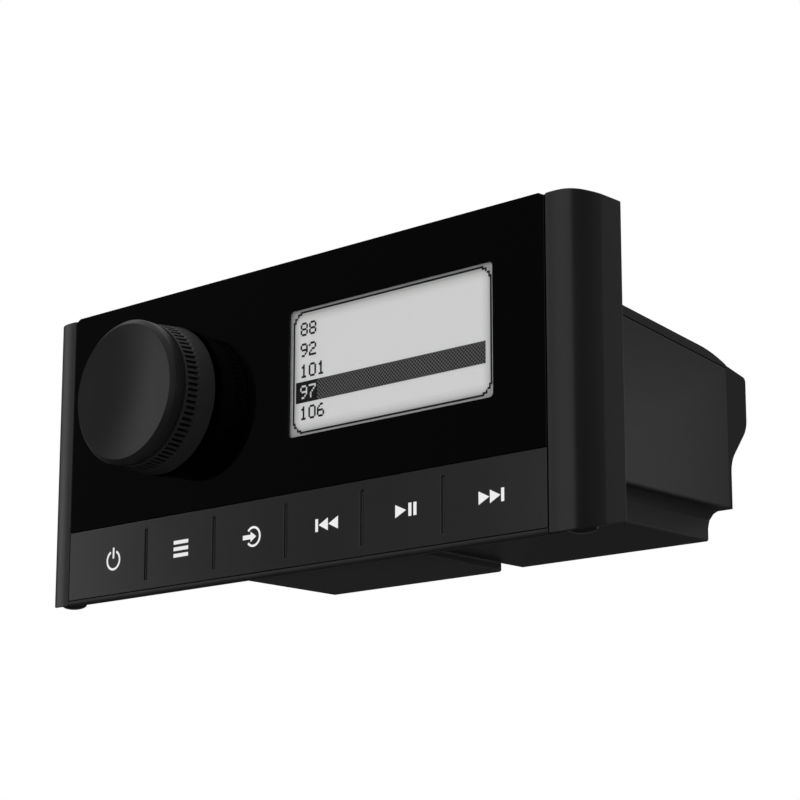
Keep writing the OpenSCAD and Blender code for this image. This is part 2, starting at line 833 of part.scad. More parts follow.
// The outer form of the tub with its two lower boxes
module tub_form() {
    across(-housing_x, housing_x) polygon([[-fit, floor_z], [rear_y, floor_z],
        [rear_y, lid_z(rear_y)], [-fit, lid_z(-fit)]]);
    block(right_box_left, right_box_x, -fit, rear_y, right_box_z, floor_z + fit);
    block(left_box_x, split_x, -fit, left_box_d, left_box_z, floor_z + fit);
    difference() {
        block(right_box_x - fit, right_box_x + ledge_r, -fit, rear_y, floor_z - ledge_r, floor_z + fit);
        bar_y(right_box_x + ledge_r, floor_z - ledge_r, -1, rear_y + 1, ledge_r);
    }
}

// The hollow inside the tub and its boxes
module tub_room() {
    across(-room_x, room_x) polygon([[flange_y - 1, room_z], [room_y, room_z], [room_y, housing_top + 1],
        [0, housing_top + 1], [0, lid_z(0) - 1], [flange_y - 1, lid_z(0) - 1]]);
    block(right_box_left + housing_wall, right_box_x - housing_wall, housing_wall, room_y,
        right_box_z + housing_wall, room_z + fit);
    block(left_box_x + housing_wall, split_x - housing_wall, housing_wall, left_box_d - housing_wall,
        left_box_z + housing_wall, room_z + fit);
}

// Bosses inside the tub for the main board, the cover and the chip's clamp
module tub_bosses() {
    for (x = [-1, 1]) {
        for (y = main_boss_y) bar_z(x * main_boss_x, y, room_z - fit, main_z, main_boss_r);
        for (y = cover_screw_y) difference() {
            bar_z(x * cover_screw_x, y, lid_z(y) - cover_boss_h, housing_top, cover_boss_r);
            across(-housing_x, housing_x) polygon([[0, lid_z(0)], [rear_y, lid_z(rear_y)],
                [rear_y, housing_top + 1], [0, housing_top + 1]]);
        }
        bar_y(x * clamp_boss_x, clamp_z, clamp_y + fit, room_y + fit, boss_r);
    }
}

// Holes in the tub for screws and sockets
module tub_holes() {
    for (x = [-1, 1]) {
        for (y = main_boss_y) {
            bar_z(x * main_boss_x, y, main_z - screw_bite - fit, main_z + 1, screw_r + running);
        }
        for (y = cover_screw_y) {
            bar_z(x * cover_screw_x, y, lid_z(y) - cover_boss_h / 2, housing_top, screw_r + running);
        }
        bar_y(x * clamp_boss_x, clamp_z, clamp_y - 1, room_y, screw_r + running);
        for (p = sink_screws) bar_y(x * p[0], p[1], room_y - 1, rear_y + 1, sink_screw_r + fit);
    }
    block(-pad_x - fit, pad_x + fit, room_y - 1, rear_y + 1, pad_low - fit, pad_high + fit);
    block(harness_x - shell_w / 2 - fit, harness_x + shell_w / 2 + fit, room_y - 1, rear_y + 1,
        harness_z - shell_h / 2 - fit, harness_z + shell_h / 2 + fit);
    for (i = [0 : line_count - 1]) {
        bar_y(line_x - i * line_pitch, line_z, room_y - 1, rear_y + 1, line_tail_r + fit);
    }
    bar_y(antenna_x, harness_z, room_y - 1, rear_y + 1, antenna_tail_r + fit);
    bar_y(digital_x, line_z, room_y - 1, rear_y + 1, digital_r + fit);
}

// The flange and the tub behind it, in one moulding
module rear_housing() {
    color([0.12, 0.12, 0.12]) difference() {
        union() {
            difference() {
                union() {
                    flange_form();
                    tub_form();
                }
                tub_room();
            }
            tub_bosses();
        }
        tub_holes();
        for (x = [-hole_x, hole_x], z = [-hole_z, hole_z]) bar_y(x, z, flange_y - 1, 1, hole_d / 2);
        for (s = [-1, 1], z = [-tab_z, tab_z]) {
            block(s * (tab_x + tab_t / 2) - tab_t / 2 - slack, s * (tab_x + tab_t / 2) + tab_t / 2 + slack,
                flange_y - 1, 1, z - tab_w / 2 - slack, z + tab_w / 2 + slack);
        }
        facing(flange_y - 1, flange_y + seal_d) seal_path();
        facing(-gasket_d, 1) gasket_path();
        for (p = bezel_bosses) {
            bar_y(p[0], p[1], flange_y - 1, 1, screw_r + fit);
            bar_y(p[0], p[1], -bezel_head_h, 1, bezel_head_r + fit);
        }
    }
}

// The gasket that seals the flange to the panel
module mounting_gasket() {
    color([0.18, 0.18, 0.18]) facing(-gasket_d, 0) gasket_path();
}

// The lid of the tub, which curves down towards its rear edge
module top_cover() {
    y0 = fit;
    curve = [for (i = [0 : 8]) let (y = rear_y - cover_curve * i / 8, bend = cover_drop * pow(1 - i / 8, 2))
        [y, lid_z(y) + cover_t * (1 - bend)]];
    color([0.12, 0.12, 0.12]) difference() {
        across(-housing_x, housing_x) polygon(concat(
            [[y0, lid_z(y0)], [rear_y, lid_z(rear_y)]], curve, [[y0, lid_z(y0) + cover_t]]));
        for (x = [-cover_screw_x, cover_screw_x], y = cover_screw_y) {
            bar_z(x, y, lid_z(y) - 2, housing_top + 1, screw_r + fit);
            bar_z(x, y, lid_z(y) + cover_sink, housing_top + 1, screw_head_r + fit);
        }
    }
}

// The screws that hold the lid
module cover_screws() {
    color([0.3, 0.3, 0.32]) for (x = [-cover_screw_x, cover_screw_x], y = cover_screw_y) {
        bar_z(x, y, lid_z(y) - cover_boss_h / 2 + fit, lid_z(y) + cover_sink, screw_r);
        bar_z(x, y, lid_z(y) + cover_sink, lid_z(y) + cover_sink + screw_head_h, screw_head_r);
    }
}

// The side profile of the heat sink: a sloped top, a round shoulder and an S-curve in to its back plate
module sink_profile() {
    polygon(concat(
        [[rear_y, floor_z], [rear_y, sink_top]],
        arc(sink_y - sink_corner, sink_top - sink_fall - sink_corner, sink_corner, 80, 0),
        arc(sink_y - sink_r, sink_low, sink_r, 0, -sink_slope),
        arc(plate_y + sink_hollow_r, sink_hollow_z, sink_hollow_r, 180 - sink_slope, 180),
        [[plate_y, floor_z]]));
}

// The room for the sockets in the heat sink's back plate, which stops short above the line sockets
module plate_holes() {
    back = sink_y + 1;
    block(antenna_x, harness_x + shell_w / 2 + socket_rim + fit, rear_y - 1, back,
        harness_z - shell_h / 2 - socket_rim - fit, harness_z + shell_h / 2 + socket_rim + fit);
    bar_y(antenna_x, harness_z, rear_y - 1, back, antenna_flange_r + fit);
    block(-housing_x - 1, antenna_x, rear_y - 1, back, floor_z - 1, plate_low);
}

// The finned heat sink across the back, with openings for the sockets and a pad through to the amplifier
module heat_sink() {
    color([0.1, 0.1, 0.1]) difference() {
        union() {
            across(-housing_x, housing_x) sink_profile();
            block(-pad_x, pad_x, room_y, rear_y + fit, pad_low, pad_high);
        }
        for (i = [0 : fin_slots - 1]) let (x = (i - (fin_slots - 1) / 2) * fin_pitch) {
            block(x - fin_gap / 2, x + fin_gap / 2, rear_y + sink_base, sink_y + 1,
                floor_z - 1, sink_top + 1);
        }
        plate_holes();
        for (x = [-1, 1], p = sink_screws) {
            bar_y(x * p[0], p[1], rear_y - 1, rear_y + sink_screw_bite + fit, sink_screw_r + running);
        }
    }
}

// The screws that hold the heat sink from inside the tub
module heat_sink_screws() {
    color([0.7, 0.7, 0.72]) for (x = [-1, 1], p = sink_screws) {
        screw_y(x * p[0], p[1], room_y, rear_y + sink_screw_bite, sink_screw_r, screw_head_r, screw_head_h);
    }
}

// The main board
module main_board() {
    color([0.05, 0.3, 0.15]) difference() {
        block(-main_x, main_x, 1, room_y - slack, main_z, main_top);
        for (x = [-main_boss_x, main_boss_x], y = main_boss_y) {
            bar_z(x, y, main_z - 1, main_top + 1, screw_r + fit);
        }
    }
}

// The screws that hold the main board
module board_screws() {
    color([0.7, 0.7, 0.72]) for (x = [-main_boss_x, main_boss_x], y = main_boss_y) {
        bar_z(x, y, main_z - screw_bite, main_top, screw_r);
        bar_z(x, y, main_top, main_top + screw_head_h, screw_head_r);
    }
}

// The amplifier, flat against the heat sink's pad
module amplifier_chip() {
    color([0.08, 0.08, 0.08]) block(-chip_x, chip_x, room_y - chip_t, room_y, main_top, main_top + chip_h);
}

// The steel bar that presses the amplifier on the heat sink
module chip_clamp() {
    color([0.65, 0.65, 0.67]) difference() {
        block(-clamp_x, clamp_x, clamp_y - clamp_t, clamp_y, clamp_low, clamp_high);
        for (x = [-clamp_boss_x, clamp_boss_x]) {
            bar_y(x, clamp_z, clamp_y - clamp_t - 1, clamp_y + 1, screw_r + fit);
        }
    }
}

// The screws that hold the clamp
module clamp_screws() {
    color([0.7, 0.7, 0.72]) for (x = [-clamp_boss_x, clamp_boss_x]) {
        screw_y(x, clamp_z, clamp_y - clamp_t, room_y - fit, screw_r, screw_head_r, screw_head_h);
    }
}

// The supply capacitors, which hang from the main board into the right-hand box
module capacitors() {
    middle = (right_box_left + right_box_x) / 2;
    color([0.15, 0.2, 0.35]) for (i = [-1 : 1]) {
        bar_z(middle + i * capacitor_pitch, well_parts_y, main_z - capacitor_h, main_z, capacitor_r);
    }
}

// The supply choke, which hangs from the main board into the left-hand box
module power_choke() {
    color([0.5, 0.3, 0.1]) translate([(left_box_x + split_x) / 2, well_parts_y, main_z - choke_wire_r])
        rotate_extrude($fn = 64) translate([choke_r, 0]) circle(r = choke_wire_r, $fn = 32);
}

// The tuner's metal can
module tuner_can() {
    x0 = tuner_in - main_x;
    color([0.72, 0.72, 0.74])
        block(x0, x0 + tuner_w, tuner_y, tuner_y + tuner_d, main_top, main_top + tuner_h);
}

// The flat cable between the two boards
module ribbon_cable() {
    y0 = ribbon_front_y;
    bend_y = (ribbon_front_y + ribbon_back_y) / 2;
    color([0.85, 0.85, 0.8]) across(ribbon_edge - ribbon_x, ribbon_x - ribbon_edge) polygon([
        [y0, ribbon_front_z], [bend_y + ribbon_t, ribbon_front_z],
        [bend_y + ribbon_t, ribbon_back_z + ribbon_t], [ribbon_back_y, ribbon_back_z + ribbon_t],
        [ribbon_back_y, ribbon_back_z], [bend_y, ribbon_back_z],
        [bend_y, ribbon_front_z - ribbon_t], [y0, ribbon_front_z - ribbon_t]]);
}

// The two sockets of the flat cable
module ribbon_sockets() {
    color([0.85, 0.82, 0.7]) {
        block(-ribbon_x, ribbon_x, board_y + board_t, ribbon_front_y,
            ribbon_front_z - ribbon_socket_d / 2, ribbon_front_z + ribbon_socket_d / 2);
        block(-ribbon_x, ribbon_x, ribbon_back_y, ribbon_back_y + ribbon_socket_d,
            main_top, main_top + ribbon_socket_h);
    }
}

// The places of the harness pins
harness_pins_at = [for (i = [0 : 7], k = [0, 1])
    [harness_x + (i - 3.5) * pin_pitch, harness_z + (k - 0.5) * pin_pitch]];

// The harness pins, or the holes that they stand in
module pins(grow) {
    for (p = harness_pins_at) {
        block(p[0] - pin_w / 2 - grow, p[0] + pin_w / 2 + grow, pin_front_y, pin_back_y,
            p[1] - pin_w / 2 - grow, p[1] + pin_w / 2 + grow);
    }
}

// The shell of the power and speaker socket
module harness_socket() {
    color([0.12, 0.12, 0.12]) difference() {
        union() {
            block(harness_x - shell_w / 2, harness_x + shell_w / 2, rear_y - shell_back, harness_y,
                harness_z - shell_h / 2, harness_z + shell_h / 2);
            block(harness_x - shell_w / 2 - socket_rim, harness_x + shell_w / 2 + socket_rim,
                rear_y, rear_y + socket_flange_t,
                harness_z - shell_h / 2 - socket_rim, harness_z + shell_h / 2 + socket_rim);
        }
        block(harness_x - shell_w / 2 + shell_wall, harness_x + shell_w / 2 - shell_wall,
            rear_y - shell_back + shell_floor, harness_y + 1,
            harness_z - shell_h / 2 + shell_wall, harness_z + shell_h / 2 - shell_wall);
        pins(running);
    }
}

// The pins of the power and speaker socket
module harness_pins() {
    color([0.8, 0.7, 0.4]) pins(0);
}

// The outer sleeves of the line sockets
module rca_shells() {
    color([0.75, 0.72, 0.6]) for (i = [0 : line_count - 1]) let (x = line_x - i * line_pitch) difference() {
        union() {
            bar_y(x, line_z, room_y - 3, rear_y + fit, line_tail_r);
            bar_y(x, line_z, rear_y, rear_y + socket_flange_t, line_flange_r);
            bar_y(x, line_z, rear_y + fit, socket_y, line_r);
        }
        bar_y(x, line_z, room_y - 4, socket_y + 1, line_insert_r + running);
    }
}

// The insulators of the line sockets, each with its centre hole
module rca_inserts() {
    color([0.85, 0.85, 0.85]) for (i = [0 : line_count - 1]) let (x = line_x - i * line_pitch) difference() {
        bar_y(x, line_z, room_y - 3, socket_y, line_insert_r);
        bar_y(x, line_z, socket_y - line_depth, socket_y + 1, line_d / 2);
    }
}

// The broadcast antenna socket: a clear bore, with a smaller seat for the insulator at its bottom
module antenna_socket() {
    color([0.75, 0.75, 0.77]) difference() {
        union() {
            bar_y(antenna_x, harness_z, room_y, rear_y + fit, antenna_tail_r);
            bar_y(antenna_x, harness_z, rear_y, rear_y + socket_flange_t, antenna_flange_r);
            bar_y(antenna_x, harness_z, rear_y + fit, socket_y, antenna_d / 2 + antenna_wall);
        }
        bar_y(antenna_x, harness_z, socket_y - antenna_depth, socket_y + 1, antenna_d / 2);
        bar_y(antenna_x, harness_z, room_y - 1, socket_y, antenna_seat_r);
    }
}

// The insulator at the bottom of the antenna socket
module antenna_insulator() {
    color([0.9, 0.9, 0.88])
        bar_y(antenna_x, harness_z, room_y, socket_y - antenna_depth, antenna_seat_r - running);
}

// The small threaded socket of the digital antenna
module digital_socket() {
    color([0.8, 0.7, 0.4]) difference() {
        union() {
            bar_y(digital_x, line_z, room_y - 3, socket_y, digital_r);
            translate([digital_x, rear_y, line_z]) rotate([-90, 0, 0])
                cylinder(h = socket_flange_t + 1, r = digital_hex_r, $fn = 6);
        }
        bar_y(digital_x, line_z, room_y - 4, socket_y + 1, digital_bore_r);
    }
}

// The insulator of the digital antenna socket
module digital_insulator() {
    color([0.9, 0.9, 0.88]) bar_y(digital_x, line_z, room_y - 3, socket_y, digital_bore_r - running);
}

lens_panel();
display_window();
lcd_frame();
lcd_panel();
backlight_plate();
display_carrier();
front_bezel();
key_power();
key_menu();
key_source();
key_previous();
key_play();
key_next();
key_mat();
tact_switches();
front_board();
front_board_screws();
encoder_body();
encoder_rotor();
encoder_shaft();
encoder_washer();
encoder_nut();
push_dome();
knob_core();
knob_grip();
knob_cap();
end_cap_left();
end_cap_right();
bezel_seal();
bezel_screws();
rear_housing();
mounting_gasket();
top_cover();
cover_screws();
heat_sink();
heat_sink_screws();
main_board();
board_screws();
amplifier_chip();
chip_clamp();
clamp_screws();
capacitors();
power_choke();
tuner_can();
ribbon_cable();
ribbon_sockets();
harness_socket();
harness_pins();
rca_shells();
rca_inserts();
antenna_socket();
antenna_insulator();
digital_socket();
digital_insulator();
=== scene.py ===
# %% [markdown]
# # A marine stereo, dressed in Blender
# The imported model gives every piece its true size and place. This lesson adds what the eye reads next:
# soft edges, the slotted grip, the dots of the display, printed symbols, and plastics that differ in gloss.
# The model could be rebuilt by eye, but a fixed frame keeps every new piece on the part that carries it.

# %% Load the frame
import json
import math

import bmesh
import bpy
from mathutils import Matrix, Vector

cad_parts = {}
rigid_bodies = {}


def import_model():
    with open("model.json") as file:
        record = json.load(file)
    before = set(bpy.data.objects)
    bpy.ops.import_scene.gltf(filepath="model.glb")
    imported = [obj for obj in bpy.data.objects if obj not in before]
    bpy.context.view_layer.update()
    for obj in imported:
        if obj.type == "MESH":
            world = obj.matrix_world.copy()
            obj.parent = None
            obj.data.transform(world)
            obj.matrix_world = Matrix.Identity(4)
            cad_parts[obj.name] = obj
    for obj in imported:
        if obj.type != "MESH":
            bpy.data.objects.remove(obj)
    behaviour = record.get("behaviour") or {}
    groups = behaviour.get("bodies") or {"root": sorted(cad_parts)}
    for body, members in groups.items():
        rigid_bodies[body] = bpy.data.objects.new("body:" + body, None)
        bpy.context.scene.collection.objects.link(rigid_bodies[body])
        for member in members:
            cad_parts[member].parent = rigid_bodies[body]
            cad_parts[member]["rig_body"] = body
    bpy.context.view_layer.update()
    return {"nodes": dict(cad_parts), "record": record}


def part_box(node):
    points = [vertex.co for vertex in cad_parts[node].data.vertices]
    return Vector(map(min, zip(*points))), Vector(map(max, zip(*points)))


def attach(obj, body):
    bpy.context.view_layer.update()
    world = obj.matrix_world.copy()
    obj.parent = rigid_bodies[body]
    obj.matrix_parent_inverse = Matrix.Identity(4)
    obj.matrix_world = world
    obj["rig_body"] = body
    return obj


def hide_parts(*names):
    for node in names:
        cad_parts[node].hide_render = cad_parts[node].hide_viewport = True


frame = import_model()
nodes = frame["nodes"]
scene = bpy.context.scene
MM = 0.001


# %% [markdown]
# ## Camera
# The photograph looks up at the unit from below and from its right, through a long lens. The angles and the
# place were found by fitting the corners of the front and of the housing, so they are simply written here.
# A small upward shift of the frame stands for the cropping of the picture.

# %% Camera
LENS = 103.8
YAW = math.radians(42.07)
PITCH = math.radians(11.59)
ROLL = math.radians(-0.04)
CAMERA_AT = Vector((0.37541, -0.39202, -0.12423))

view_turn = Matrix.Rotation(YAW, 3, "Z") @ Matrix.Rotation(PITCH, 3, "X") @ Matrix.Rotation(ROLL, 3, "Y")
lens = bpy.data.cameras.new("camera")
lens.lens = LENS
lens.sensor_width = 36
lens.shift_y = 0.1
lens.clip_start = 0.01
camera = bpy.data.objects.new("camera", lens)
camera.matrix_world = Matrix.Translation(CAMERA_AT) @ (view_turn @ Matrix.Rotation(math.radians(90), 3, "X")).to_4x4()
scene.collection.objects.link(camera)
scene.camera = camera
scene.view_settings.view_transform = "Standard"
print("camera looks along", [round(v, 3) for v in view_turn @ Vector((0, 1, 0))])


# %% [markdown]
# ## Stage and light
# The background is plain white. The world shows white to the camera and to mirror and glass rays, and a
# softer grey to everything else, so white never becomes extra light. Black plastic shows what stands round
# it, so dim cards stand where the photographer's studio was dim, and only mirrors see them. Darker colours
# would be simpler, but the plastics would lose their gloss.

# %% Stage and light
WORLD_FILL = 0.9


def link(tree, source, target):
    tree.links.new(source, target)


def shown_white(tree):
    """A mask that is 1 for camera, mirror and glass rays."""
    path = tree.nodes.new("ShaderNodeLightPath")
    first = tree.nodes.new("ShaderNodeMath")
    first.operation = "MAXIMUM"
    second = tree.nodes.new("ShaderNodeMath")
    second.operation = "MAXIMUM"
    link(tree, path.outputs["Is Camera Ray"], first.inputs[0])
    link(tree, path.outputs["Is Glossy Ray"], first.inputs[1])
    link(tree, first.outputs[0], second.inputs[0])
    link(tree, path.outputs["Is Transmission Ray"], second.inputs[1])
    return second.outputs[0]


world = bpy.data.worlds.new("studio")
world.use_nodes = True
scene.world = world
sky = world.node_tree
sky.nodes.clear()
sky_out = sky.nodes.new("ShaderNodeOutputWorld")
sky_white = sky.nodes.new("ShaderNodeBackground")
sky_fill = sky.nodes.new("ShaderNodeBackground")
sky_fill.inputs["Strength"].default_value = WORLD_FILL
sky_mix = sky.nodes.new("ShaderNodeMixShader")
sky_white.inputs["Color"].default_value = (1, 1, 1, 1)
sky_fill.inputs["Color"].default_value = (1, 1, 1, 1)
link(sky, shown_white(sky), sky_mix.inputs[0])
link(sky, sky_fill.outputs[0], sky_mix.inputs[1])
link(sky, sky_white.outputs[0], sky_mix.inputs[2])
link(sky, sky_mix.outputs[0], sky_out.inputs[0])


def flat_object(name, corners, material):
    mesh = bpy.data.meshes.new(name)
    mesh.from_pydata([tuple(c) for c in corners], [], [tuple(range(len(corners)))])
    mesh.materials.append(material)
    piece = bpy.data.objects.new(name, mesh)
    scene.collection.objects.link(piece)
    return piece


def floor_material():
    material = bpy.data.materials.new("pale_floor")
    material.use_nodes = True
    tree = material.node_tree
    tree.nodes.clear()
    out = tree.nodes.new("ShaderNodeOutputMaterial")
    matt = tree.nodes.new("ShaderNodeBsdfDiffuse")
    matt.inputs["Color"].default_value = (0.8, 0.8, 0.8, 1)
    glow = tree.nodes.new("ShaderNodeEmission")
    glow.inputs["Color"].default_value = (1, 1, 1, 1)
    mix = tree.nodes.new("ShaderNodeMixShader")
    half = tree.nodes.new("ShaderNodeMath")
    half.operation = "MULTIPLY"
    half.inputs[1].default_value = 0.85
    link(tree, shown_white(tree), half.inputs[0])
    link(tree, half.outputs[0], mix.inputs[0])
    link(tree, matt.outputs[0], mix.inputs[1])
    link(tree, glow.outputs[0], mix.inputs[2])
    link(tree, mix.outputs[0], out.inputs[0])
    return material


FLOOR_Z = -0.42
FLOOR_SIDE = 6
flat_object("floor", [(-FLOOR_SIDE, -FLOOR_SIDE, FLOOR_Z), (FLOOR_SIDE, -FLOOR_SIDE, FLOOR_Z),
                      (FLOOR_SIDE, FLOOR_SIDE, FLOOR_Z), (-FLOOR_SIDE, FLOOR_SIDE, FLOOR_Z)], floor_material())


def dark_card(name, middle, aim, width, height, level):
    """A dim card that only mirrors see."""
    material = bpy.data.materials.new(name)
    material.use_nodes = True
    tree = material.node_tree
    tree.nodes.clear()
    out = tree.nodes.new("ShaderNodeOutputMaterial")
    glow = tree.nodes.new("ShaderNodeEmission")
    glow.inputs["Color"].default_value = (level, level, level, 1)
    link(tree, glow.outputs[0], out.inputs[0])
    middle = Vector(middle)
    ahead = (Vector(aim) - middle).normalized()
    side = ahead.cross(Vector((0, 0, 1))).normalized() * width / 2
    rise = side.cross(ahead).normalized() * height / 2
    card = flat_object(name, [middle - side - rise, middle + side - rise, middle + side + rise, middle - side + rise],
                       material)
    card.visible_camera = False
    card.visible_diffuse = False
    card.visible_shadow = False
    return card


# distance, turn, rise, width, height and level of each card
CARDS = {
    "front_card": (0.9, -43.5, 12, 0.345, 1.5, 0.15),
    "right_card": (0.8, 92, 8, 1.4, 1.6, 0.0),
    "rear_right_card": (0.9, 146, 25, 0.85, 1.6, 0.22),
    "rear_left_card": (0.9, -128, 0, 2.2, 1.5, 0.1),
    "low_card": (0.4, 0, -89.9, 3.0, 3.0, 0.005),
}


def toward(turn, rise):
    """A unit vector; the turn goes from the front (0) by the right side (90) to the back (180)."""
    turn, rise = math.radians(turn), math.radians(rise)
    return Vector((math.sin(turn) * math.cos(rise), -math.cos(turn) * math.cos(rise), math.sin(rise)))


for card, (distance, turn, rise, width, height, level) in CARDS.items():
    dark_card(card, toward(turn, rise) * distance, (0, 0, 0), width, height, level)


def soft_box(name, place, width, height, power):
    lamp = bpy.data.lights.new(name, "AREA")
    lamp.shape = "RECTANGLE"
    lamp.size = width
    lamp.size_y = height
    lamp.energy = power
    box = bpy.data.objects.new(name, lamp)
    box.location = place
    box.rotation_euler = (-Vector(place)).to_track_quat("-Z", "Y").to_euler()
    scene.collection.objects.link(box)
    return box


soft_box("left_strip", toward(-60, 11) * 1.2, 0.15, 0.8, 0.7)
soft_box("top_box", (0, 0.1, 1.5), 0.8, 0.8, 4)
soft_box("right_box", (1.2, -0.4, 1.0), 0.8, 0.8, 2.0)
soft_box("rear_box", (0.7, 1.3, 0.45), 0.8, 0.8, 4)
print("stage: floor,", len(CARDS), "cards, four soft boxes")


# %% [markdown]
# ## Shared finishes
# Most of this object is black plastic, and it reads as different parts only through gloss, grain and worn
# edges. One node group makes the fine grain of a mould and one makes handled edges, and every material sets
# its own values on them. Painting each material by hand would also work, but the grain would then drift from
# one part to the next.

# %% Shared finishes
def new_group(name, inputs, outputs):
    group = bpy.data.node_groups.new(name, "ShaderNodeTree")
    for socket, value in inputs:
        made = group.interface.new_socket(socket, in_out="INPUT", socket_type="NodeSocketFloat")
        made.default_value = value
    for socket in outputs:
        group.interface.new_socket(socket, in_out="OUTPUT", socket_type="NodeSocketFloat")
    return group, group.nodes.new("NodeGroupInput"), group.nodes.new("NodeGroupOutput")


def math_node(tree, operation, a, b=None, clamp=False):
    made = tree.nodes.new("ShaderNodeMath")
    made.operation = operation
    made.use_clamp = clamp
    for i, value in enumerate((a, b)):
        if value is None:
            continue
        if isinstance(value, (int, float)):
            made.inputs[i].default_value = value
        else:
            link(tree, value, made.inputs[i])
    return made.outputs[0]


def noise_node(tree, scale, detail=2.0):
    place = tree.nodes.new("ShaderNodeTexCoord")
    noise = tree.nodes.new("ShaderNodeTexNoise")
    noise.inputs["Detail"].default_value = detail
    link(tree, place.outputs["Object"], noise.inputs["Vector"])
    if isinstance(scale, (int, float)):
        noise.inputs["Scale"].default_value = scale
    else:
        link(tree, scale, noise.inputs["Scale"])
    return noise.outputs["Fac"]


# fine grain of the mould, with broad cloudy patches where hands have polished it
grain_group, g_in, g_out = new_group(
    "mould_grain",
    [("Grain Scale", 2500.0), ("Patch Scale", 30.0), ("Roughness", 0.5), ("Spread", 0.1), ("Tone Spread", 0.2)],
    ["Roughness", "Height", "Tone"])
g_fine = noise_node(grain_group, g_in.outputs["Grain Scale"], 3.0)
g_patch = noise_node(grain_group, g_in.outputs["Patch Scale"], 4.0)
g_sway = math_node(grain_group, "SUBTRACT", g_patch, 0.5)
g_rough = math_node(grain_group, "MULTIPLY", g_sway, g_in.outputs["Spread"])
g_speck = math_node(grain_group, "SUBTRACT", g_fine, 0.5)
g_tone = math_node(grain_group, "MULTIPLY", math_node(grain_group, "ADD", g_sway, g_speck), g_in.outputs["Tone Spread"])
link(grain_group, math_node(grain_group, "ADD", g_in.outputs["Roughness"], g_rough, True), g_out.inputs["Roughness"])
link(grain_group, g_fine, g_out.inputs["Height"])
link(grain_group, math_node(grain_group, "ADD", g_tone, 1.0), g_out.inputs["Tone"])

# edges that fingers and cloths have rubbed: strongest on the rounded edge faces, broken up by noise
edge_group, e_in, e_out = new_group("handled_edges", [("Break Scale", 220.0), ("Amount", 0.5)], ["Mask"])
e_mark = edge_group.nodes.new("ShaderNodeAttribute")
e_mark.attribute_name = "soft_edge"
e_break = math_node(edge_group, "MULTIPLY", noise_node(edge_group, e_in.outputs["Break Scale"], 5.0), 1.6, True)
e_mask = math_node(edge_group, "MULTIPLY", e_mark.outputs["Fac"], e_break)
link(edge_group, math_node(edge_group, "MULTIPLY", e_mask, e_in.outputs["Amount"], True), e_out.inputs["Mask"])


def place_group(tree, group, **values):
    made = tree.nodes.new("ShaderNodeGroup")
    made.node_tree = group
    for socket, value in values.items():
        made.inputs[socket.replace("_", " ")].default_value = value
    return made


def tinted(tree, colour, factor):
    """A colour times a value that varies over the surface."""
    mix = tree.nodes.new("ShaderNodeMix")
    mix.data_type = "RGBA"
    mix.blend_type = "MULTIPLY"
    mix.inputs["Factor"].default_value = 1.0
    mix.inputs[6].default_value = (*colour, 1)
    link(tree, factor, mix.inputs[7])
    return mix.outputs[2]


def blended(tree, factor, first, second):
    """One colour fading into another."""
    mix = tree.nodes.new("ShaderNodeMix")
    mix.data_type = "RGBA"
    link(tree, factor, mix.inputs["Factor"])
    for socket, value in ((mix.inputs[6], first), (mix.inputs[7], second)):
        if isinstance(value, tuple):
            socket.default_value = (*value, 1)
        else:
            link(tree, value, socket)
    return mix.outputs[2]


def bump_from(tree, height, strength, distance):
    bump = tree.nodes.new("ShaderNodeBump")
    bump.inputs["Strength"].default_value = strength
    bump.inputs["Distance"].default_value = distance
    link(tree, height, bump.inputs["Height"])
    return bump.outputs["Normal"]


def start_material(name):
    material = bpy.data.materials.new(name)
    material.use_nodes = True
    tree = material.node_tree
    return material, tree, tree.nodes["Principled BSDF"]


def moulded(name, colour, rough, specular, grain=2500.0, bump=0.06, spread=0.15, tone=0.25, worn=0.4, pocket_shade=0.0):
    """A moulded plastic or rubber: grain, cloudy gloss, lighter handled edges and painted shade in its pockets."""
    material, tree, shader = start_material(name)
    grained = place_group(tree, grain_group, Grain_Scale=grain, Roughness=rough, Spread=spread, Tone_Spread=tone)
    edges = place_group(tree, edge_group, Amount=worn)
    paler = tuple(min(1.0, c * 1.8 + 0.004) for c in colour)
    body = tinted(tree, colour, grained.outputs["Tone"])
    # painted shade: faces marked as sunk into a pocket are painted darker by this amount
    if pocket_shade:
        deep = tree.nodes.new("ShaderNodeAttribute")
        deep.attribute_name = "pocket_shade"
        pocket_shade_colour = tuple(c * (1 - pocket_shade) for c in colour)
        body = blended(tree, deep.outputs["Fac"], body, pocket_shade_colour)
    link(tree, blended(tree, edges.outputs["Mask"], body, paler), shader.inputs["Base Color"])
    link(tree, grained.outputs["Roughness"], shader.inputs["Roughness"])
    link(tree, bump_from(tree, grained.outputs["Height"], bump, 0.0002), shader.inputs["Normal"])
    shader.inputs["Specular IOR Level"].default_value = specular
    return material


def metal(name, colour, rough, grain=1200.0, bump=0.04):
    """A plated or turned metal with a faint uneven polish."""
    material, tree, shader = start_material(name)
    grained = place_group(tree, grain_group, Grain_Scale=grain, Patch_Scale=90.0, Roughness=rough, Spread=0.2,
                          Tone_Spread=0.2)
    edges = place_group(tree, edge_group, Amount=0.3)
    paler = tuple(min(1.0, c * 1.2) for c in colour)
    body = tinted(tree, colour, grained.outputs["Tone"])
    link(tree, blended(tree, edges.outputs["Mask"], body, paler), shader.inputs["Base Color"])
    link(tree, grained.outputs["Roughness"], shader.inputs["Roughness"])
    link(tree, bump_from(tree, grained.outputs["Height"], bump, 0.0002), shader.inputs["Normal"])
    shader.inputs["Metallic"].default_value = 1.0
    return material


print("groups:", grain_group.name, edge_group.name)


# %% [markdown]
# ## Finishes by slot
# Each slot of the record gets one material. The front is five blacks: a polished panel, satin keys, a satin
# knob with a duller grip, end caps, and the grained housing behind. Keeping them in one table makes it easy to
# compare their values side by side.

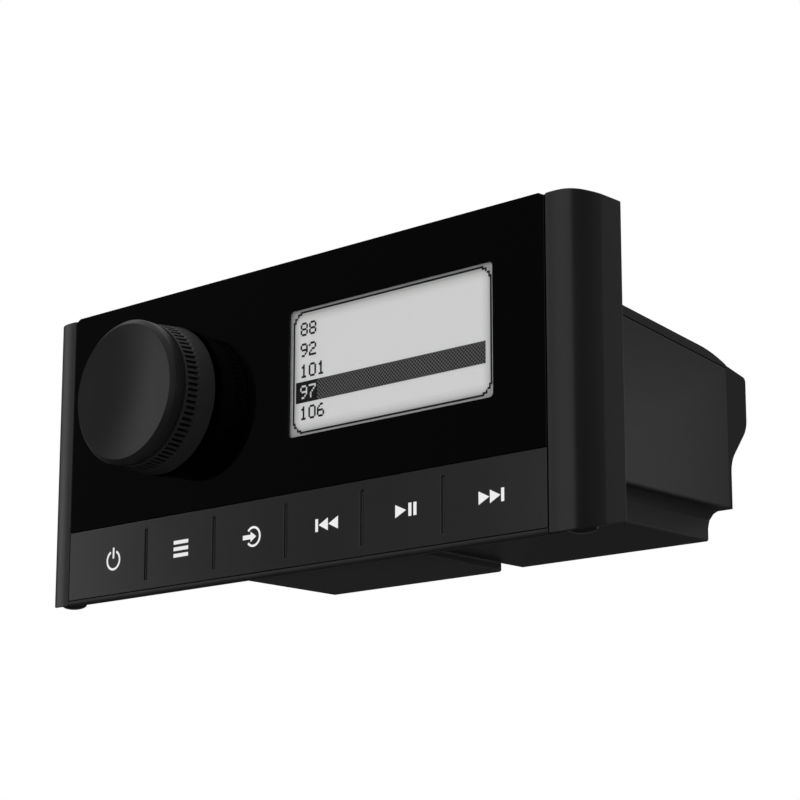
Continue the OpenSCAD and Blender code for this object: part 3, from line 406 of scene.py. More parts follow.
# %% Finishes by slot
finishes = {
    "bezel_black": moulded("bezel_black", (0.0075, 0.0075, 0.0077), 0.5, 0.3),
    "key_black": moulded("key_black", (0.0075, 0.0075, 0.0077), 0.25, 0.4, grain=1800.0, bump=0.03, spread=0.08),
    "cap_black": moulded("cap_black", (0.0075, 0.0075, 0.0077), 0.36, 0.34, bump=0.04, worn=0.1),
    "knob_black": moulded("knob_black", (0.009, 0.009, 0.0092), 0.34, 0.13),
    # the grip's slots are painted darker inside: painted shade
    "knob_rubber": moulded("knob_rubber", (0.016, 0.016, 0.0162), 0.5, 0.36, grain=1500.0, bump=0.1, pocket_shade=0.8),
    "housing_black": moulded("housing_black", (0.0135, 0.0135, 0.0137), 0.55, 0.36, grain=1400.0, bump=0.12),
    "sink_black": moulded("sink_black", (0.0085, 0.0085, 0.0087), 0.5, 0.17, grain=1200.0, bump=0.14),
    "cover_black": moulded("cover_black", (0.0115, 0.0115, 0.0117), 0.5, 0.22, grain=1400.0, bump=0.12),
    "seal_rubber": moulded("seal_rubber", (0.02, 0.02, 0.02), 0.8, 0.2, grain=900.0, bump=0.3),
    "silicone": moulded("silicone", (0.04, 0.04, 0.044), 0.6, 0.4, grain=900.0),
    "inner_plastic": moulded("inner_plastic", (0.03, 0.03, 0.03), 0.5, 0.5),
    "light_guide": moulded("light_guide", (0.8, 0.8, 0.8), 0.2, 0.5, bump=0.02),
    "chip_black": moulded("chip_black", (0.02, 0.02, 0.02), 0.6, 0.4, grain=900.0),
    "capacitor_sleeve": moulded("capacitor_sleeve", (0.02, 0.035, 0.12), 0.3, 0.5, grain=300.0),
    "ribbon_white": moulded("ribbon_white", (0.7, 0.7, 0.66), 0.5, 0.5, grain=500.0),
    "socket_white": moulded("socket_white", (0.62, 0.62, 0.58), 0.45, 0.5, grain=700.0),
    "socket_black": moulded("socket_black", (0.02, 0.02, 0.0204), 0.4, 0.35, grain=900.0),
    "switch_body": metal("switch_body", (0.5, 0.5, 0.52), 0.35),
    "screw_steel": metal("screw_steel", (0.5, 0.5, 0.52), 0.32),
    "encoder_metal": metal("encoder_metal", (0.5, 0.5, 0.5), 0.35),
    "shaft_metal": metal("shaft_metal", (0.62, 0.62, 0.64), 0.3),
    "spring_steel": metal("spring_steel", (0.55, 0.55, 0.57), 0.28),
    "contact_brass": metal("contact_brass", (0.68, 0.49, 0.2), 0.28),
    "choke_copper": metal("choke_copper", (0.55, 0.22, 0.08), 0.35, grain=400.0, bump=0.4),
    "tin_can": metal("tin_can", (0.66, 0.66, 0.67), 0.22),
}


def gloss_black():
    """Polished black: a near-black body under a clear, slightly uneven coat."""
    material, tree, shader = start_material("gloss_black")
    grained = place_group(tree, grain_group, Grain_Scale=60.0, Patch_Scale=25.0, Roughness=0.04, Spread=0.04,
                          Tone_Spread=0.3)
    edges = place_group(tree, edge_group, Amount=0.25)
    body = tinted(tree, (0.0004, 0.0004, 0.00042), grained.outputs["Tone"])
    link(tree, blended(tree, edges.outputs["Mask"], body, (0.004, 0.004, 0.0042)), shader.inputs["Base Color"])
    link(tree, grained.outputs["Roughness"], shader.inputs["Roughness"])
    shader.inputs["Specular IOR Level"].default_value = 0.12
    return material


def clear_window():
    """The clear plate over the display: almost nothing but its reflection."""
    material, tree, shader = start_material("clear_window")
    grained = place_group(tree, grain_group, Grain_Scale=80.0, Patch_Scale=40.0, Roughness=0.05, Spread=0.05,
                          Tone_Spread=0.1)
    link(tree, tinted(tree, (0.02, 0.02, 0.02), grained.outputs["Tone"]), shader.inputs["Base Color"])
    link(tree, grained.outputs["Roughness"], shader.inputs["Roughness"])
    shader.inputs["Alpha"].default_value = 0.06
    return material


def board_green():
    """Solder mask with faint tracks under it."""
    material, tree, shader = start_material("board_green")
    place = tree.nodes.new("ShaderNodeTexCoord")
    tracks = tree.nodes.new("ShaderNodeTexBrick")
    tracks.inputs["Scale"].default_value = 240.0
    tracks.inputs["Color1"].default_value = (0.012, 0.09, 0.035, 1)
    tracks.inputs["Color2"].default_value = (0.016, 0.11, 0.045, 1)
    tracks.inputs["Mortar"].default_value = (0.02, 0.15, 0.06, 1)
    link(tree, place.outputs["Object"], tracks.inputs["Vector"])
    grained = place_group(tree, grain_group, Grain_Scale=900.0, Roughness=0.35, Spread=0.15)
    link(tree, tracks.outputs["Color"], shader.inputs["Base Color"])
    link(tree, grained.outputs["Roughness"], shader.inputs["Roughness"])
    return material


finishes["gloss_black"] = gloss_black()
finishes["clear_window"] = clear_window()
finishes["board_green"] = board_green()
print("finishes:", len(finishes))


# %% [markdown]
# ## The display's own finishes
# The display is a light grey panel. Towards its frame it is painted a little darker: painted shade, where a
# raised frame shades a lit panel. The painted shade is measured from the panel's own box, so it stays on the
# glass from every side. An image of the screen would be quicker, but it could not be lit or rescaled.

# %% The display's own finishes
def panel_with_painted_rim_shade(name, node, margin, middle_colour, rim_shade_colour, rough):
    """A panel that fades from one colour in the middle to a painted shade colour at its rim."""
    low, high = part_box(node)
    material, tree, shader = start_material(name)
    place = tree.nodes.new("ShaderNodeTexCoord")
    parts = tree.nodes.new("ShaderNodeSeparateXYZ")
    link(tree, place.outputs["Object"], parts.inputs[0])
    reach = []
    for axis in (0, 2):
        centre = (low[axis] + high[axis]) / 2
        half = (high[axis] - low[axis]) / 2 - margin
        away = math_node(tree, "ABSOLUTE", math_node(tree, "SUBTRACT", parts.outputs[axis], centre))
        reach.append(math_node(tree, "DIVIDE", math_node(tree, "SUBTRACT", half, away), margin, True))
    inside = math_node(tree, "MULTIPLY", reach[0], reach[1])
    soft = math_node(tree, "POWER", inside, 0.5)
    speck = math_node(tree, "MULTIPLY", noise_node(tree, 4000.0), 0.06)
    mask = math_node(tree, "SUBTRACT", soft, speck, True)
    # painted shade: the rim colour takes over towards the frame, in the colour and in the glow
    lit = blended(tree, mask, rim_shade_colour, middle_colour)
    link(tree, lit, shader.inputs["Base Color"])
    link(tree, lit, shader.inputs["Emission Color"])
    shader.inputs["Emission Strength"].default_value = 0.56
    shader.inputs["Roughness"].default_value = rough
    shader.inputs["Specular IOR Level"].default_value = 0.2
    return material


# the rim of the display glass is painted darker: painted shade of the raised frame
finishes["display_glass"] = panel_with_painted_rim_shade("display_glass", "lcd_panel", 2.2 * MM, (0.5, 0.505, 0.5),
                                        (0.3, 0.305, 0.3), 0.4)
finishes["display_grey"] = moulded("display_grey", (0.42, 0.42, 0.42), 0.5, 0.3, worn=0.0)
display_ink = moulded("display_ink", (0.008, 0.008, 0.0085), 0.5, 0.1, grain=3000.0, worn=0.0)
display_half_ink = moulded("display_half_ink", (0.12, 0.12, 0.122), 0.5, 0.1, grain=3000.0, worn=0.0)
symbol_white = moulded("symbol_white", (0.95, 0.95, 0.95), 0.5, 0.3, grain=2500.0, bump=0.02, worn=0.0, tone=0.08)

for entry in frame["record"]["subparts"]:
    piece = nodes[entry["node"]]
    piece.data.materials.clear()
    piece.data.materials.append(finishes[entry["material_slot"]])
print("every node has a finish")


# %% [markdown]
# ## Soft edges
# No moulded edge is sharp, and a thin rounded edge is what catches the light. A copy of a node is welded,
# its flat triangles are joined to whole faces, and its sharp edges get a small round. The new edge faces are
# marked so that the handled-edge group finds them. Subdivision would round the edges too, but it would also
# swell the flat faces.

# %% Soft edges
EDGE_ANGLE = math.radians(32)


def as_piece(name, mesh, material, body, slot, *replaced):
    """Links a finished mesh, puts it on its body and hides the nodes that it replaces."""
    piece = bpy.data.objects.new(name, mesh)
    scene.collection.objects.link(piece)
    mesh.materials.clear()
    mesh.materials.append(material)
    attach(piece, body)
    if replaced:
        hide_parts(*replaced)
    return piece


def shade(mesh, angle=EDGE_ANGLE):
    mesh.shade_smooth()
    mesh.set_sharp_from_angle(angle=angle)


def round_edges(work, width, wanted, segments=2):
    """Rounds the sharp edges that are wanted, and marks the faces that this makes."""
    mark = work.faces.layers.float.get("soft_edge") or work.faces.layers.float.new("soft_edge")
    sharp = [e for e in work.edges if len(e.link_faces) == 2 and e.calc_face_angle(0) > EDGE_ANGLE and wanted(e)]
    made = bmesh.ops.bevel(work, geom=sharp, offset=width, offset_type="OFFSET", segments=segments, profile=0.5,
                           affect="EDGES", clamp_overlap=True)
    for face in made["faces"]:
        face[mark] = 1.0
    return len(sharp)


def weighted(mesh, name):
    """The same mesh with its normals weighted by face size, so flat faces stay flat beside round edges."""
    holder = bpy.data.objects.new(name, mesh)
    scene.collection.objects.link(holder)
    modifier = holder.modifiers.new("weights", "WEIGHTED_NORMAL")
    modifier.keep_sharp = True
    ready = holder.evaluated_get(bpy.context.evaluated_depsgraph_get())
    made = bpy.data.meshes.new_from_object(ready)
    made.name = name
    bpy.data.objects.remove(holder)
    return made


def every_edge(edge):
    return True


def long_edge(edge):
    """An edge that can take a visible round; the rims of small holes cannot."""
    return edge.calc_length() > 4 * MM


def long_along(edge, axis):
    """A long edge that runs along one axis."""
    run = edge.verts[1].co - edge.verts[0].co
    return long_edge(edge) and abs(run[axis]) > 0.98 * run.length


def long_across(edge):
    return long_along(edge, 0)


def no_edge(start, end):
    return False


def soften(node, width, slot, wanted=every_edge, segments=2, reshape=None, finish=None, crease=no_edge):
    """A copy of a node with rounded edges, in the node's place; creases stay sharp at any angle."""
    work = bmesh.new()
    work.from_mesh(nodes[node].data)
    bmesh.ops.remove_doubles(work, verts=work.verts, dist=1e-6)
    bmesh.ops.dissolve_limit(work, angle_limit=math.radians(0.6), verts=work.verts, edges=work.edges)
    if reshape:
        reshape(work)
    count = round_edges(work, width, wanted, segments)
    mesh = bpy.data.meshes.new("soft_" + node)
    work.to_mesh(mesh)
    work.free()
    shade(mesh)
    for edge in mesh.edges:
        if crease(*[mesh.vertices[i].co for i in edge.vertices]):
            edge.use_edge_sharp = True
    body = nodes[node]["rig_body"]
    piece = as_piece("soft_" + node, weighted(mesh, "soft_" + node), finishes[finish or slot], body, slot, node)
    print("softened", node, count, "edges")
    return piece


KEYS = ["key_power", "key_menu", "key_source", "key_previous", "key_play", "key_next"]
SEAM = 0.04 * MM
NEAR = 0.01 * MM
GROOVE_CUT = 0.9 * MM
GROOVE_SEEN = 0.55 * MM


def seam_sides(number):
    """The planes where a key meets its neighbours, each with the distance that closes the seam to a hairline."""
    low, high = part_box(KEYS[number])
    sides = []
    if number > 0:
        sides.append((low.x, -(low.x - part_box(KEYS[number - 1])[1].x - SEAM) / 2))
    if number < len(KEYS) - 1:
        sides.append((high.x, (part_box(KEYS[number + 1])[0].x - high.x - SEAM) / 2))
    return sides


def soft_key(number):
    """A key with rounded edges except along its seams, which the real strip hardly shows."""
    sides = seam_sides(number)
    closed = [x + step for x, step in sides]
    face_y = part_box(KEYS[number])[0].y

    def close_seams(work):
        for vert in work.verts:
            for x, step in sides:
                if abs(vert.co.x - x) < NEAR:
                    vert.co.x += step
            if abs(vert.co.y - face_y - GROOVE_CUT) < NEAR:
                vert.co.y = face_y + GROOVE_SEEN

    def off_the_seam(edge):
        return not any(all(abs(v.co.x - x) < NEAR for v in edge.verts) for x in closed)

    soften(KEYS[number], 0.16 * MM, "key_black", off_the_seam, 2, close_seams)


for number in range(len(KEYS)):
    soft_key(number)
soften("lens_panel", 0.2 * MM, "gloss_black")
soften("top_cover", 0.25 * MM, "housing_black", long_edge, 3, finish="cover_black")
soften("heat_sink", 0.4 * MM, "sink_black", long_across)
soften("harness_socket", 0.25 * MM, "socket_black")


def outer_of(node, slack):
    """True for edges on the outside of a node's box."""
    low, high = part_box(node)

    def test(edge):
        middle = (edge.verts[0].co + edge.verts[1].co) / 2
        gaps = [min(middle[i] - low[i], high[i] - middle[i]) for i in range(3)]
        return min(gaps) < slack
    return test


bezel_low, bezel_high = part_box("front_bezel")


def round_lip(work):
    """The wide round along the bottom front edge of the bezel."""
    def along_lip(edge):
        return all(abs(v.co.y - bezel_low.y) < 0.05 * MM and v.co.z - bezel_low.z < 0.5 * MM for v in edge.verts)
    round_edges(work, 1.2 * MM, along_lip, 6)


soften("front_bezel", 0.25 * MM, "bezel_black", outer_of("front_bezel", 0.3 * MM), 2, round_lip)


sink_low, sink_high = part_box("heat_sink")
LEDGE_IN = 6.3 * MM
LEDGE_R = 4 * MM
LEDGE_TURNS = (0, 28, 54, 80, 90)
LEDGE_CREASE = 28
ledge_at = (sink_high.x - LEDGE_IN + LEDGE_R, sink_low.z - LEDGE_R)


def ledge_turn(place):
    """Where a point is on the hollow curve under the ledge, in degrees from the side, or None."""
    across, up = ledge_at[0] - place.x, place.z - ledge_at[1]
    if min(across, up) < -NEAR or abs(math.hypot(across, up) - LEDGE_R) > 0.1 * MM:
        return None
    return math.degrees(math.atan2(up, across))


def crisp_ledge(work):
    """Draws the hollow curve in a few steps, so that it can meet the side below in a clear line."""
    for vert in work.verts:
        turn = ledge_turn(vert.co)
        if turn is not None:
            step = math.radians(min(LEDGE_TURNS, key=lambda t: abs(t - turn)))
            vert.co.x = ledge_at[0] - LEDGE_R * math.cos(step)
            vert.co.z = ledge_at[1] + LEDGE_R * math.sin(step)
    bmesh.ops.remove_doubles(work, verts=work.verts, dist=1e-6)


def ledge_line(start, end):
    turns = [ledge_turn(start), ledge_turn(end)]
    return None not in turns and all(abs(turn - LEDGE_CREASE) < 1 for turn in turns)


def housing_long(edge):
    """The housing's long edges from front to back, away from its holes and grooves."""
    hollow = all(ledge_turn(v.co) is not None for v in edge.verts)
    return long_along(edge, 1) and edge.calc_length() > 30 * MM and not hollow


soften("rear_housing", 0.9 * MM, "housing_black", housing_long, 4, crisp_ledge, crease=ledge_line)


# %% [markdown]
# ## End caps
# The caps are thin shells with a wide round at their outer front corner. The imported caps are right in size
# but their round is made of a few flats, so the shells are drawn again with a finer curve: a solid is cut by
# a smaller one, which is how a mould makes them. Their edges are then rounded.

# %% End caps
CAP_WALL = 1.8 * MM
CAP_STEPS = 12
LIP_HALF = (3.6 * MM, 2.8 * MM, 1.1 * MM)
# the outer face in plan, from the seam to the side: each stretch from one turn to another, with its radius
CAP_CURVE = [(-8, 10, 14), (10, 52, 4.2), (52, 72, 7), (72, 84, 24)]


def solid_prism(name, plan, low_at, high_at):
    """A closed prism over a plan, with a floor and a top that may slope."""
    work = bmesh.new()
    low = [work.verts.new((x, y, low_at(y))) for x, y in plan]
    high = [work.verts.new((x, y, high_at(y))) for x, y in plan]
    work.faces.new(low)
    work.faces.new(high)
    for i in range(len(plan)):
        k = (i + 1) % len(plan)
        work.faces.new((low[i], low[k], high[k], high[i]))
    bmesh.ops.recalc_face_normals(work, faces=work.faces)
    mesh = bpy.data.meshes.new(name)
    work.to_mesh(mesh)
    work.free()
    holder = bpy.data.objects.new(name, mesh)
    scene.collection.objects.link(holder)
    return holder


def joined(base, tools, operation):
    """The base solid cut by or joined with the tools; the tools are used up."""
    for tool in tools:
        modifier = base.modifiers.new("solid", "BOOLEAN")
        modifier.operation = operation
        modifier.solver = "EXACT"
        modifier.object = tool
    ready = base.evaluated_get(bpy.context.evaluated_depsgraph_get())
    mesh = bpy.data.meshes.new_from_object(ready)
    for tool in tools:
        bpy.data.objects.remove(tool)
    bpy.data.objects.remove(base)
    return mesh


def cap_mesh(node, side):
    low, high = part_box(node)
    inner, outer = (low.x, high.x) if side > 0 else (-high.x, -low.x)
    front, back = low.y, high.y
    top = high.z
    under_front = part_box("front_bezel")[0].z + 0.4 * MM
    rise = 3.6 / 16

    def nose(wall):
        """The outer face in plan, fitted to the width between the seam and the side, or the wall's inner face."""
        reach = sum(r * (math.sin(math.radians(b)) - math.sin(math.radians(a))) for a, b, r in CAP_CURVE)
        fit = (outer - inner) / reach
        points = []
        x, y = inner, front
        for a, b, r in CAP_CURVE:
            start = math.radians(a)
            for i in range(1, CAP_STEPS + 1):
                turn = math.radians(a + (b - a) * i / CAP_STEPS)
                across = x + fit * r * (math.sin(turn) - math.sin(start))
                along = y + fit * r * (math.cos(start) - math.cos(turn))
                points.append((across - wall * math.sin(turn), along + wall * math.cos(turn)))
            x, y = across, along
        return points

    def plan(wall, spill):
        return [(inner - spill, front + wall)] + nose(wall) + [(outer - wall, back + spill), (inner - spill, back + spill)]

    def under(wall):
        return lambda y: under_front + rise * (y - front) + wall

    def over(wall):
        return lambda y: top - wall

    def turned_to_side(points):
        return [(side * x, y) for x, y in points]

    shell = solid_prism("cap_shell", turned_to_side(plan(0, 0)), under(0), over(0))
    room = solid_prism("cap_room", turned_to_side(plan(CAP_WALL, 1 * MM)), under(CAP_WALL), over(CAP_WALL))
    hollow = joined(shell, [room], "DIFFERENCE")
    work = bmesh.new()
    work.from_mesh(hollow)
    bmesh.ops.remove_doubles(work, verts=work.verts, dist=1e-6)
    bmesh.ops.dissolve_limit(work, angle_limit=math.radians(0.6), verts=work.verts, edges=work.edges)
    round_edges(work, 0.55 * MM, every_edge, 3)
    tab_x = inner + 1.5 * MM
    for level in (-11 * MM, 11 * MM):
        add_block(work, side * tab_x, side * (tab_x + 1.6 * MM), front + CAP_WALL - 0.1 * MM, back,
                  level - 3 * MM, level + 3 * MM)
    lip_y = front + 6 * MM
    lip_at = Vector((side * (inner + outer) / 2, lip_y, under(0)(lip_y)))
    lip_size = Matrix.Diagonal((*LIP_HALF, 1))
    bmesh.ops.create_uvsphere(work, u_segments=32, v_segments=16, radius=1, matrix=Matrix.Translation(lip_at) @ lip_size)
    mesh = bpy.data.meshes.new("soft_" + node)
    work.to_mesh(mesh)
    work.free()
    shade(mesh)
    return weighted(mesh, "soft_" + node)


def add_block(work, x0, x1, y0, y1, z0, z1):
    """Adds a separate block with its faces outwards."""
    x0, x1 = min(x0, x1), max(x0, x1)
    corners = [work.verts.new((x, y, z)) for x in (x0, x1) for y in (y0, y1) for z in (z0, z1)]
    for quad in ((0, 1, 3, 2), (4, 6, 7, 5), (0, 4, 5, 1), (2, 3, 7, 6), (0, 2, 6, 4), (1, 5, 7, 3)):
        work.faces.new([corners[i] for i in quad])


as_piece("soft_cap_left", cap_mesh("end_cap_left", -1), finishes["cap_black"], "cap_left", "cap_black", "end_cap_left")
as_piece("soft_cap_right", cap_mesh("end_cap_right", 1), finishes["cap_black"], "cap_right", "cap_black",
         "end_cap_right")
print("caps drawn with", CAP_STEPS * len(CAP_CURVE), "steps round the front")


# %% [markdown]
# ## The knob's turned pieces
# The front disc is turned: a shallow dish, a narrow bevelled rim and a plain edge, above a dark neck. A
# profile spun about the knob's axis gives exactly that, with as many steps as the close view needs. The
# profile starts and ends on the axis, so the solid closes by itself.

# %% The knob's turned pieces
SPIN_STEPS = 160


def turned(profile, centre, steps=SPIN_STEPS, closed=False):
    """A mesh spun about a line along Y; the profile is a list of (radius, y)."""
    work = bmesh.new()
    rings = []
    for radius, y in profile:
        if radius < 1e-9:
            rings.append([work.verts.new((centre[0], y, centre[1]))])
            continue
        ring = []
        for i in range(steps):
            turn = 2 * math.pi * i / steps
            ring.append(work.verts.new((centre[0] + radius * math.cos(turn), y, centre[1] + radius * math.sin(turn))))
        rings.append(ring)
    pairs = list(zip(rings, rings[1:]))
    if closed:
        pairs.append((rings[-1], rings[0]))
    for first, second in pairs:
        for i in range(steps):
            k = (i + 1) % steps
            if len(first) == 1:
                work.faces.new((first[0], second[i], second[k]))
            elif len(second) == 1:
                work.faces.new((first[i], second[0], first[k]))
            else:
                work.faces.new((first[i], second[i], second[k], first[k]))
    bmesh.ops.recalc_face_normals(work, faces=work.faces)
    mesh = bpy.data.meshes.new("turned")
    work.to_mesh(mesh)
    work.free()
    shade(mesh, math.radians(40))
    return mesh


def arc_points(r, y, size, start, end, steps=6):
    turns = [math.radians(start + (end - start) * i / steps) for i in range(steps + 1)]
    return [(r + size * math.cos(t), y + size * math.sin(t)) for t in turns]


cap_low, cap_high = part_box("knob_cap")
grip_low, grip_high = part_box("knob_grip")
knob_at = ((cap_low.x + cap_high.x) / 2, (cap_low.z + cap_high.z) / 2)
disc_r = (cap_high.x - cap_low.x) / 2
disc_front, disc_back = cap_low.y, cap_high.y
RIM = 1.5 * MM
DISH = 1.8 * MM
dish_r = disc_r - RIM
dish_curve = [(dish_r * i / 24, disc_front + DISH * (1 - (i / 24) ** 2)) for i in range(24)]
rim_curve = [(dish_r, disc_front + 0.05 * MM), (dish_r + 0.2 * MM, disc_front)]
edge_curve = [(disc_r - 1.2 * MM, disc_front), (disc_r - 0.15 * MM, disc_front + 0.95 * MM), (disc_r, disc_front + 1.2 * MM)]
back_curve = arc_points(disc_r - 0.3 * MM, disc_back - 0.3 * MM, 0.3 * MM, 0, 90, 4)
disc = turned(dish_curve + rim_curve + edge_curve + back_curve + [(0, disc_back)], knob_at)
as_piece("knob_disc", disc, finishes["knob_black"], "knob", "knob_black", "knob_cap")
print("knob disc radius", round(disc_r / MM, 2), "mm")


# %% [markdown]
# ## The slotted grip
# Behind the disc is a ring with a band of narrow slots all round, which repeats by a rule: one sector with one
# slot, set round the axis many times over. Geometry Nodes place the sectors, make them real and weld them
# to one closed ring. Cutting each slot with a boolean would work, but the rounded slot edges would be lost.

# %% The slotted grip
SLOTS = 78
SLOT_LENGTH = 3.3 * MM
SLOT_WIDTH = 0.66 * MM
SLOT_DEPTH = 0.6 * MM
GRIP_FRONT_R = disc_r - 0.2 * MM
GRIP_BACK_R = (grip_high.x - grip_low.x) / 2
GRIP_INNER_R = 15.5 * MM
GRIP_SEAM = 0.9 * MM
grip_front, grip_back = grip_low.y, grip_high.y


def smooth_step(value):
    value = max(0.0, min(1.0, value))
    return value * value * (3 - 2 * value)


def grip_profile():
    """The ring's outline as (radius, y, may hold a slot), once round."""
    soft = 0.35 * MM
    points = [(GRIP_INNER_R, grip_front, False), (GRIP_FRONT_R - GRIP_SEAM, grip_front, False),
              (GRIP_FRONT_R - GRIP_SEAM, grip_front + soft * 0.8, False), (GRIP_FRONT_R, grip_front + soft, False)]
    for i in range(1, 30):
        share = i / 30
        y = grip_front + soft + (grip_back - grip_front - 2 * soft) * share
        r = GRIP_FRONT_R + (GRIP_BACK_R - GRIP_FRONT_R) * share
        points.append((r, y, True))
    points += [(r, y, False) for r, y in arc_points(GRIP_BACK_R - soft, grip_back - soft, soft, 0, 90, 4)]
    points.append((GRIP_INNER_R, grip_back, False))
    return points


def slot_depth(turn, y):
    half = SLOT_WIDTH / 2 / GRIP_FRONT_R
    middle = grip_front + 1.0 * MM + SLOT_LENGTH / 2
    across = smooth_step((half * 1.15 - abs(turn)) / (half * 0.3))
    along = smooth_step((SLOT_LENGTH / 2 + 0.1 * MM - abs(y - middle)) / (0.2 * MM))
    return SLOT_DEPTH * across * along


def grip_sector():
    """One sector of the ring with one slot, about the Y axis."""
    step = 2 * math.pi / SLOTS
    half = SLOT_WIDTH / 2 / GRIP_FRONT_R
    slot_turns = [-half * 1.15, -half * 1.0, -half * 0.85, 0, half * 0.85, half * 1.0, half * 1.15]
    turns = [-step / 2, -half * 1.4] + slot_turns + [half * 1.4, step / 2]
    profile = grip_profile()
    work = bmesh.new()
    mark = work.faces.layers.float.new("soft_edge")
    pocket_shade = work.faces.layers.float.new("pocket_shade")
    columns = []
    for turn in turns:
        column = []
        for r, y, slotted in profile:
            deep = r - slot_depth(turn, y) if slotted else r
            column.append(work.verts.new((deep * math.cos(turn), y, deep * math.sin(turn))))
        columns.append(column)
    count = len(profile)
    for first, second in zip(columns, columns[1:]):
        for i in range(count):
            k = (i + 1) % count
            face = work.faces.new((first[i], first[k], second[k], second[i]))
            face[mark] = 0.0 if profile[i][2] and profile[k][2] else 0.4
            reach = [math.hypot(v.co.x, v.co.z) for v in face.verts]
            plain = [profile[i][0], profile[k][0], profile[k][0], profile[i][0]]
            # how far the face is sunk into its slot, which sets the painted shade there
            face[pocket_shade] = min(1.0, max(a - b for a, b in zip(plain, reach)) / SLOT_DEPTH)
    bmesh.ops.recalc_face_normals(work, faces=work.faces)
    outward = sum(f.normal.x * f.calc_area() for f in work.faces if f.calc_center_median().x > GRIP_FRONT_R * 0.95)
    if outward < 0:
        bmesh.ops.reverse_faces(work, faces=work.faces)
    mesh = bpy.data.meshes.new("grip_sector")
    work.to_mesh(mesh)
    work.free()
    mesh.shade_smooth()
    return mesh


def new_tree(name, inputs):
    """A Geometry Nodes tree with a geometry input and output and named values."""
    tree = bpy.data.node_groups.new(name, "GeometryNodeTree")
    tree.interface.new_socket("Geometry", in_out="INPUT", socket_type="NodeSocketGeometry")
    ids = {}
    for socket, kind, value in inputs:
        made = tree.interface.new_socket(socket, in_out="INPUT", socket_type=kind)
        if value is not None:
            made.default_value = value
        ids[socket] = made.identifier
    tree.interface.new_socket("Geometry", in_out="OUTPUT", socket_type="NodeSocketGeometry")
    return tree, tree.nodes.new("NodeGroupInput"), tree.nodes.new("NodeGroupOutput"), ids


def run_tree(tree, ids, mesh, values, name):
    """Runs a tree on a mesh and returns the plain mesh that it makes."""
    holder = bpy.data.objects.new(name, mesh)
    scene.collection.objects.link(holder)
    modifier = holder.modifiers.new("nodes", "NODES")
    modifier.node_group = tree
    for socket, value in values.items():
        modifier[ids[socket]] = value
    ready = holder.evaluated_get(bpy.context.evaluated_depsgraph_get())
    made = bpy.data.meshes.new_from_object(ready)
    made.name = name
    holder.modifiers.clear()
    bpy.data.objects.remove(holder)
    return made


def hidden_object(name, mesh):
    """An object that only feeds a tree; it is removed once the tree has run."""
    holder = bpy.data.objects.new(name, mesh)
    scene.collection.objects.link(holder)
    return holder


def ring_tree():
    tree, enter, leave, ids = new_tree("ring_of_sectors", [
        ("Sector", "NodeSocketObject", None), ("Count", "NodeSocketInt", SLOTS),
        ("Middle", "NodeSocketVector", (0, 0, 0)), ("Finish", "NodeSocketMaterial", None)])
    points = tree.nodes.new("GeometryNodePoints")
    link(tree, enter.outputs["Count"], points.inputs["Count"])
    index = tree.nodes.new("GeometryNodeInputIndex")
    share = math_node(tree, "DIVIDE", index.outputs[0], enter.outputs["Count"])
    turn = math_node(tree, "MULTIPLY", share, 2 * math.pi)
    spin = tree.nodes.new("ShaderNodeCombineXYZ")
    link(tree, turn, spin.inputs["Y"])
    sector = tree.nodes.new("GeometryNodeObjectInfo")
    link(tree, enter.outputs["Sector"], sector.inputs["Object"])
    place = tree.nodes.new("GeometryNodeInstanceOnPoints")
    link(tree, points.outputs[0], place.inputs["Points"])
    link(tree, sector.outputs["Geometry"], place.inputs["Instance"])
    link(tree, spin.outputs[0], place.inputs["Rotation"])
    real = tree.nodes.new("GeometryNodeRealizeInstances")
    link(tree, place.outputs[0], real.inputs[0])
    weld = tree.nodes.new("GeometryNodeMergeByDistance")
    weld.inputs["Distance"].default_value = 1e-6
    link(tree, real.outputs[0], weld.inputs[0])
    move = tree.nodes.new("GeometryNodeTransform")
    link(tree, weld.outputs[0], move.inputs[0])
    link(tree, enter.outputs["Middle"], move.inputs["Translation"])
    paint = tree.nodes.new("GeometryNodeSetMaterial")
    link(tree, move.outputs[0], paint.inputs[0])
    link(tree, enter.outputs["Finish"], paint.inputs["Material"])
    link(tree, paint.outputs[0], leave.inputs[0])
    return tree, ids


sector_piece = hidden_object("grip_sector", grip_sector())
ring, ring_ids = ring_tree()
grip_mesh = run_tree(ring, ring_ids, bpy.data.meshes.new("empty"), {
    "Sector": sector_piece, "Count": SLOTS, "Middle": (knob_at[0], 0, knob_at[1]),
    "Finish": finishes["knob_rubber"]}, "slotted_grip")
bpy.data.objects.remove(sector_piece)
shade(grip_mesh, math.radians(50))
as_piece("slotted_grip", grip_mesh, finishes["knob_rubber"], "knob", "knob_rubber", "knob_grip")
print("grip:", len(grip_mesh.polygons), "faces")


# %% [markdown]
# ## The dots of the display
# The screen shows a list of plain numbers in square dots, with one line picked out in reverse and a thin
# frame line round the whole. The dots to be lit are worked out on a grid, and Geometry Nodes set a thin tile
# on each. Text objects would give smooth letters, which a dot screen does not have.

# %% The dots of the display
DOT_PITCH = 0.4636 * MM
DOT_SIZE = 0.46 * MM
BOLD_SIZE = 0.51 * MM
DOT_COLUMNS = 132
DOT_ROWS = 64
DIGITS = {
    "0": ["01110", "10001", "10001", "10001", "10001", "10001", "01110"],
    "1": ["00100", "01100", "00100", "00100", "00100", "00100", "01110"],
    "2": ["01110", "10001", "00001", "00110", "01000", "10000", "11111"],
    "6": ["00110", "01000", "10000", "11110", "10001", "10001", "01110"],
    "7": ["11111", "00001", "00010", "00100", "01000", "01000", "01000"],
    "8": ["01110", "10001", "10001", "01110", "10001", "10001", "01110"],
    "9": ["01110", "10001", "10001", "01111", "00001", "00010", "01100"],
}
DIGIT_STEP = 6
LINES = ["88", "92", "101", "97", "106"]
PICKED_LINE = 3
LINE_PITCH = 11
FIRST_LINE = 6
TEXT_COLUMN = 5
BAR_START = 2
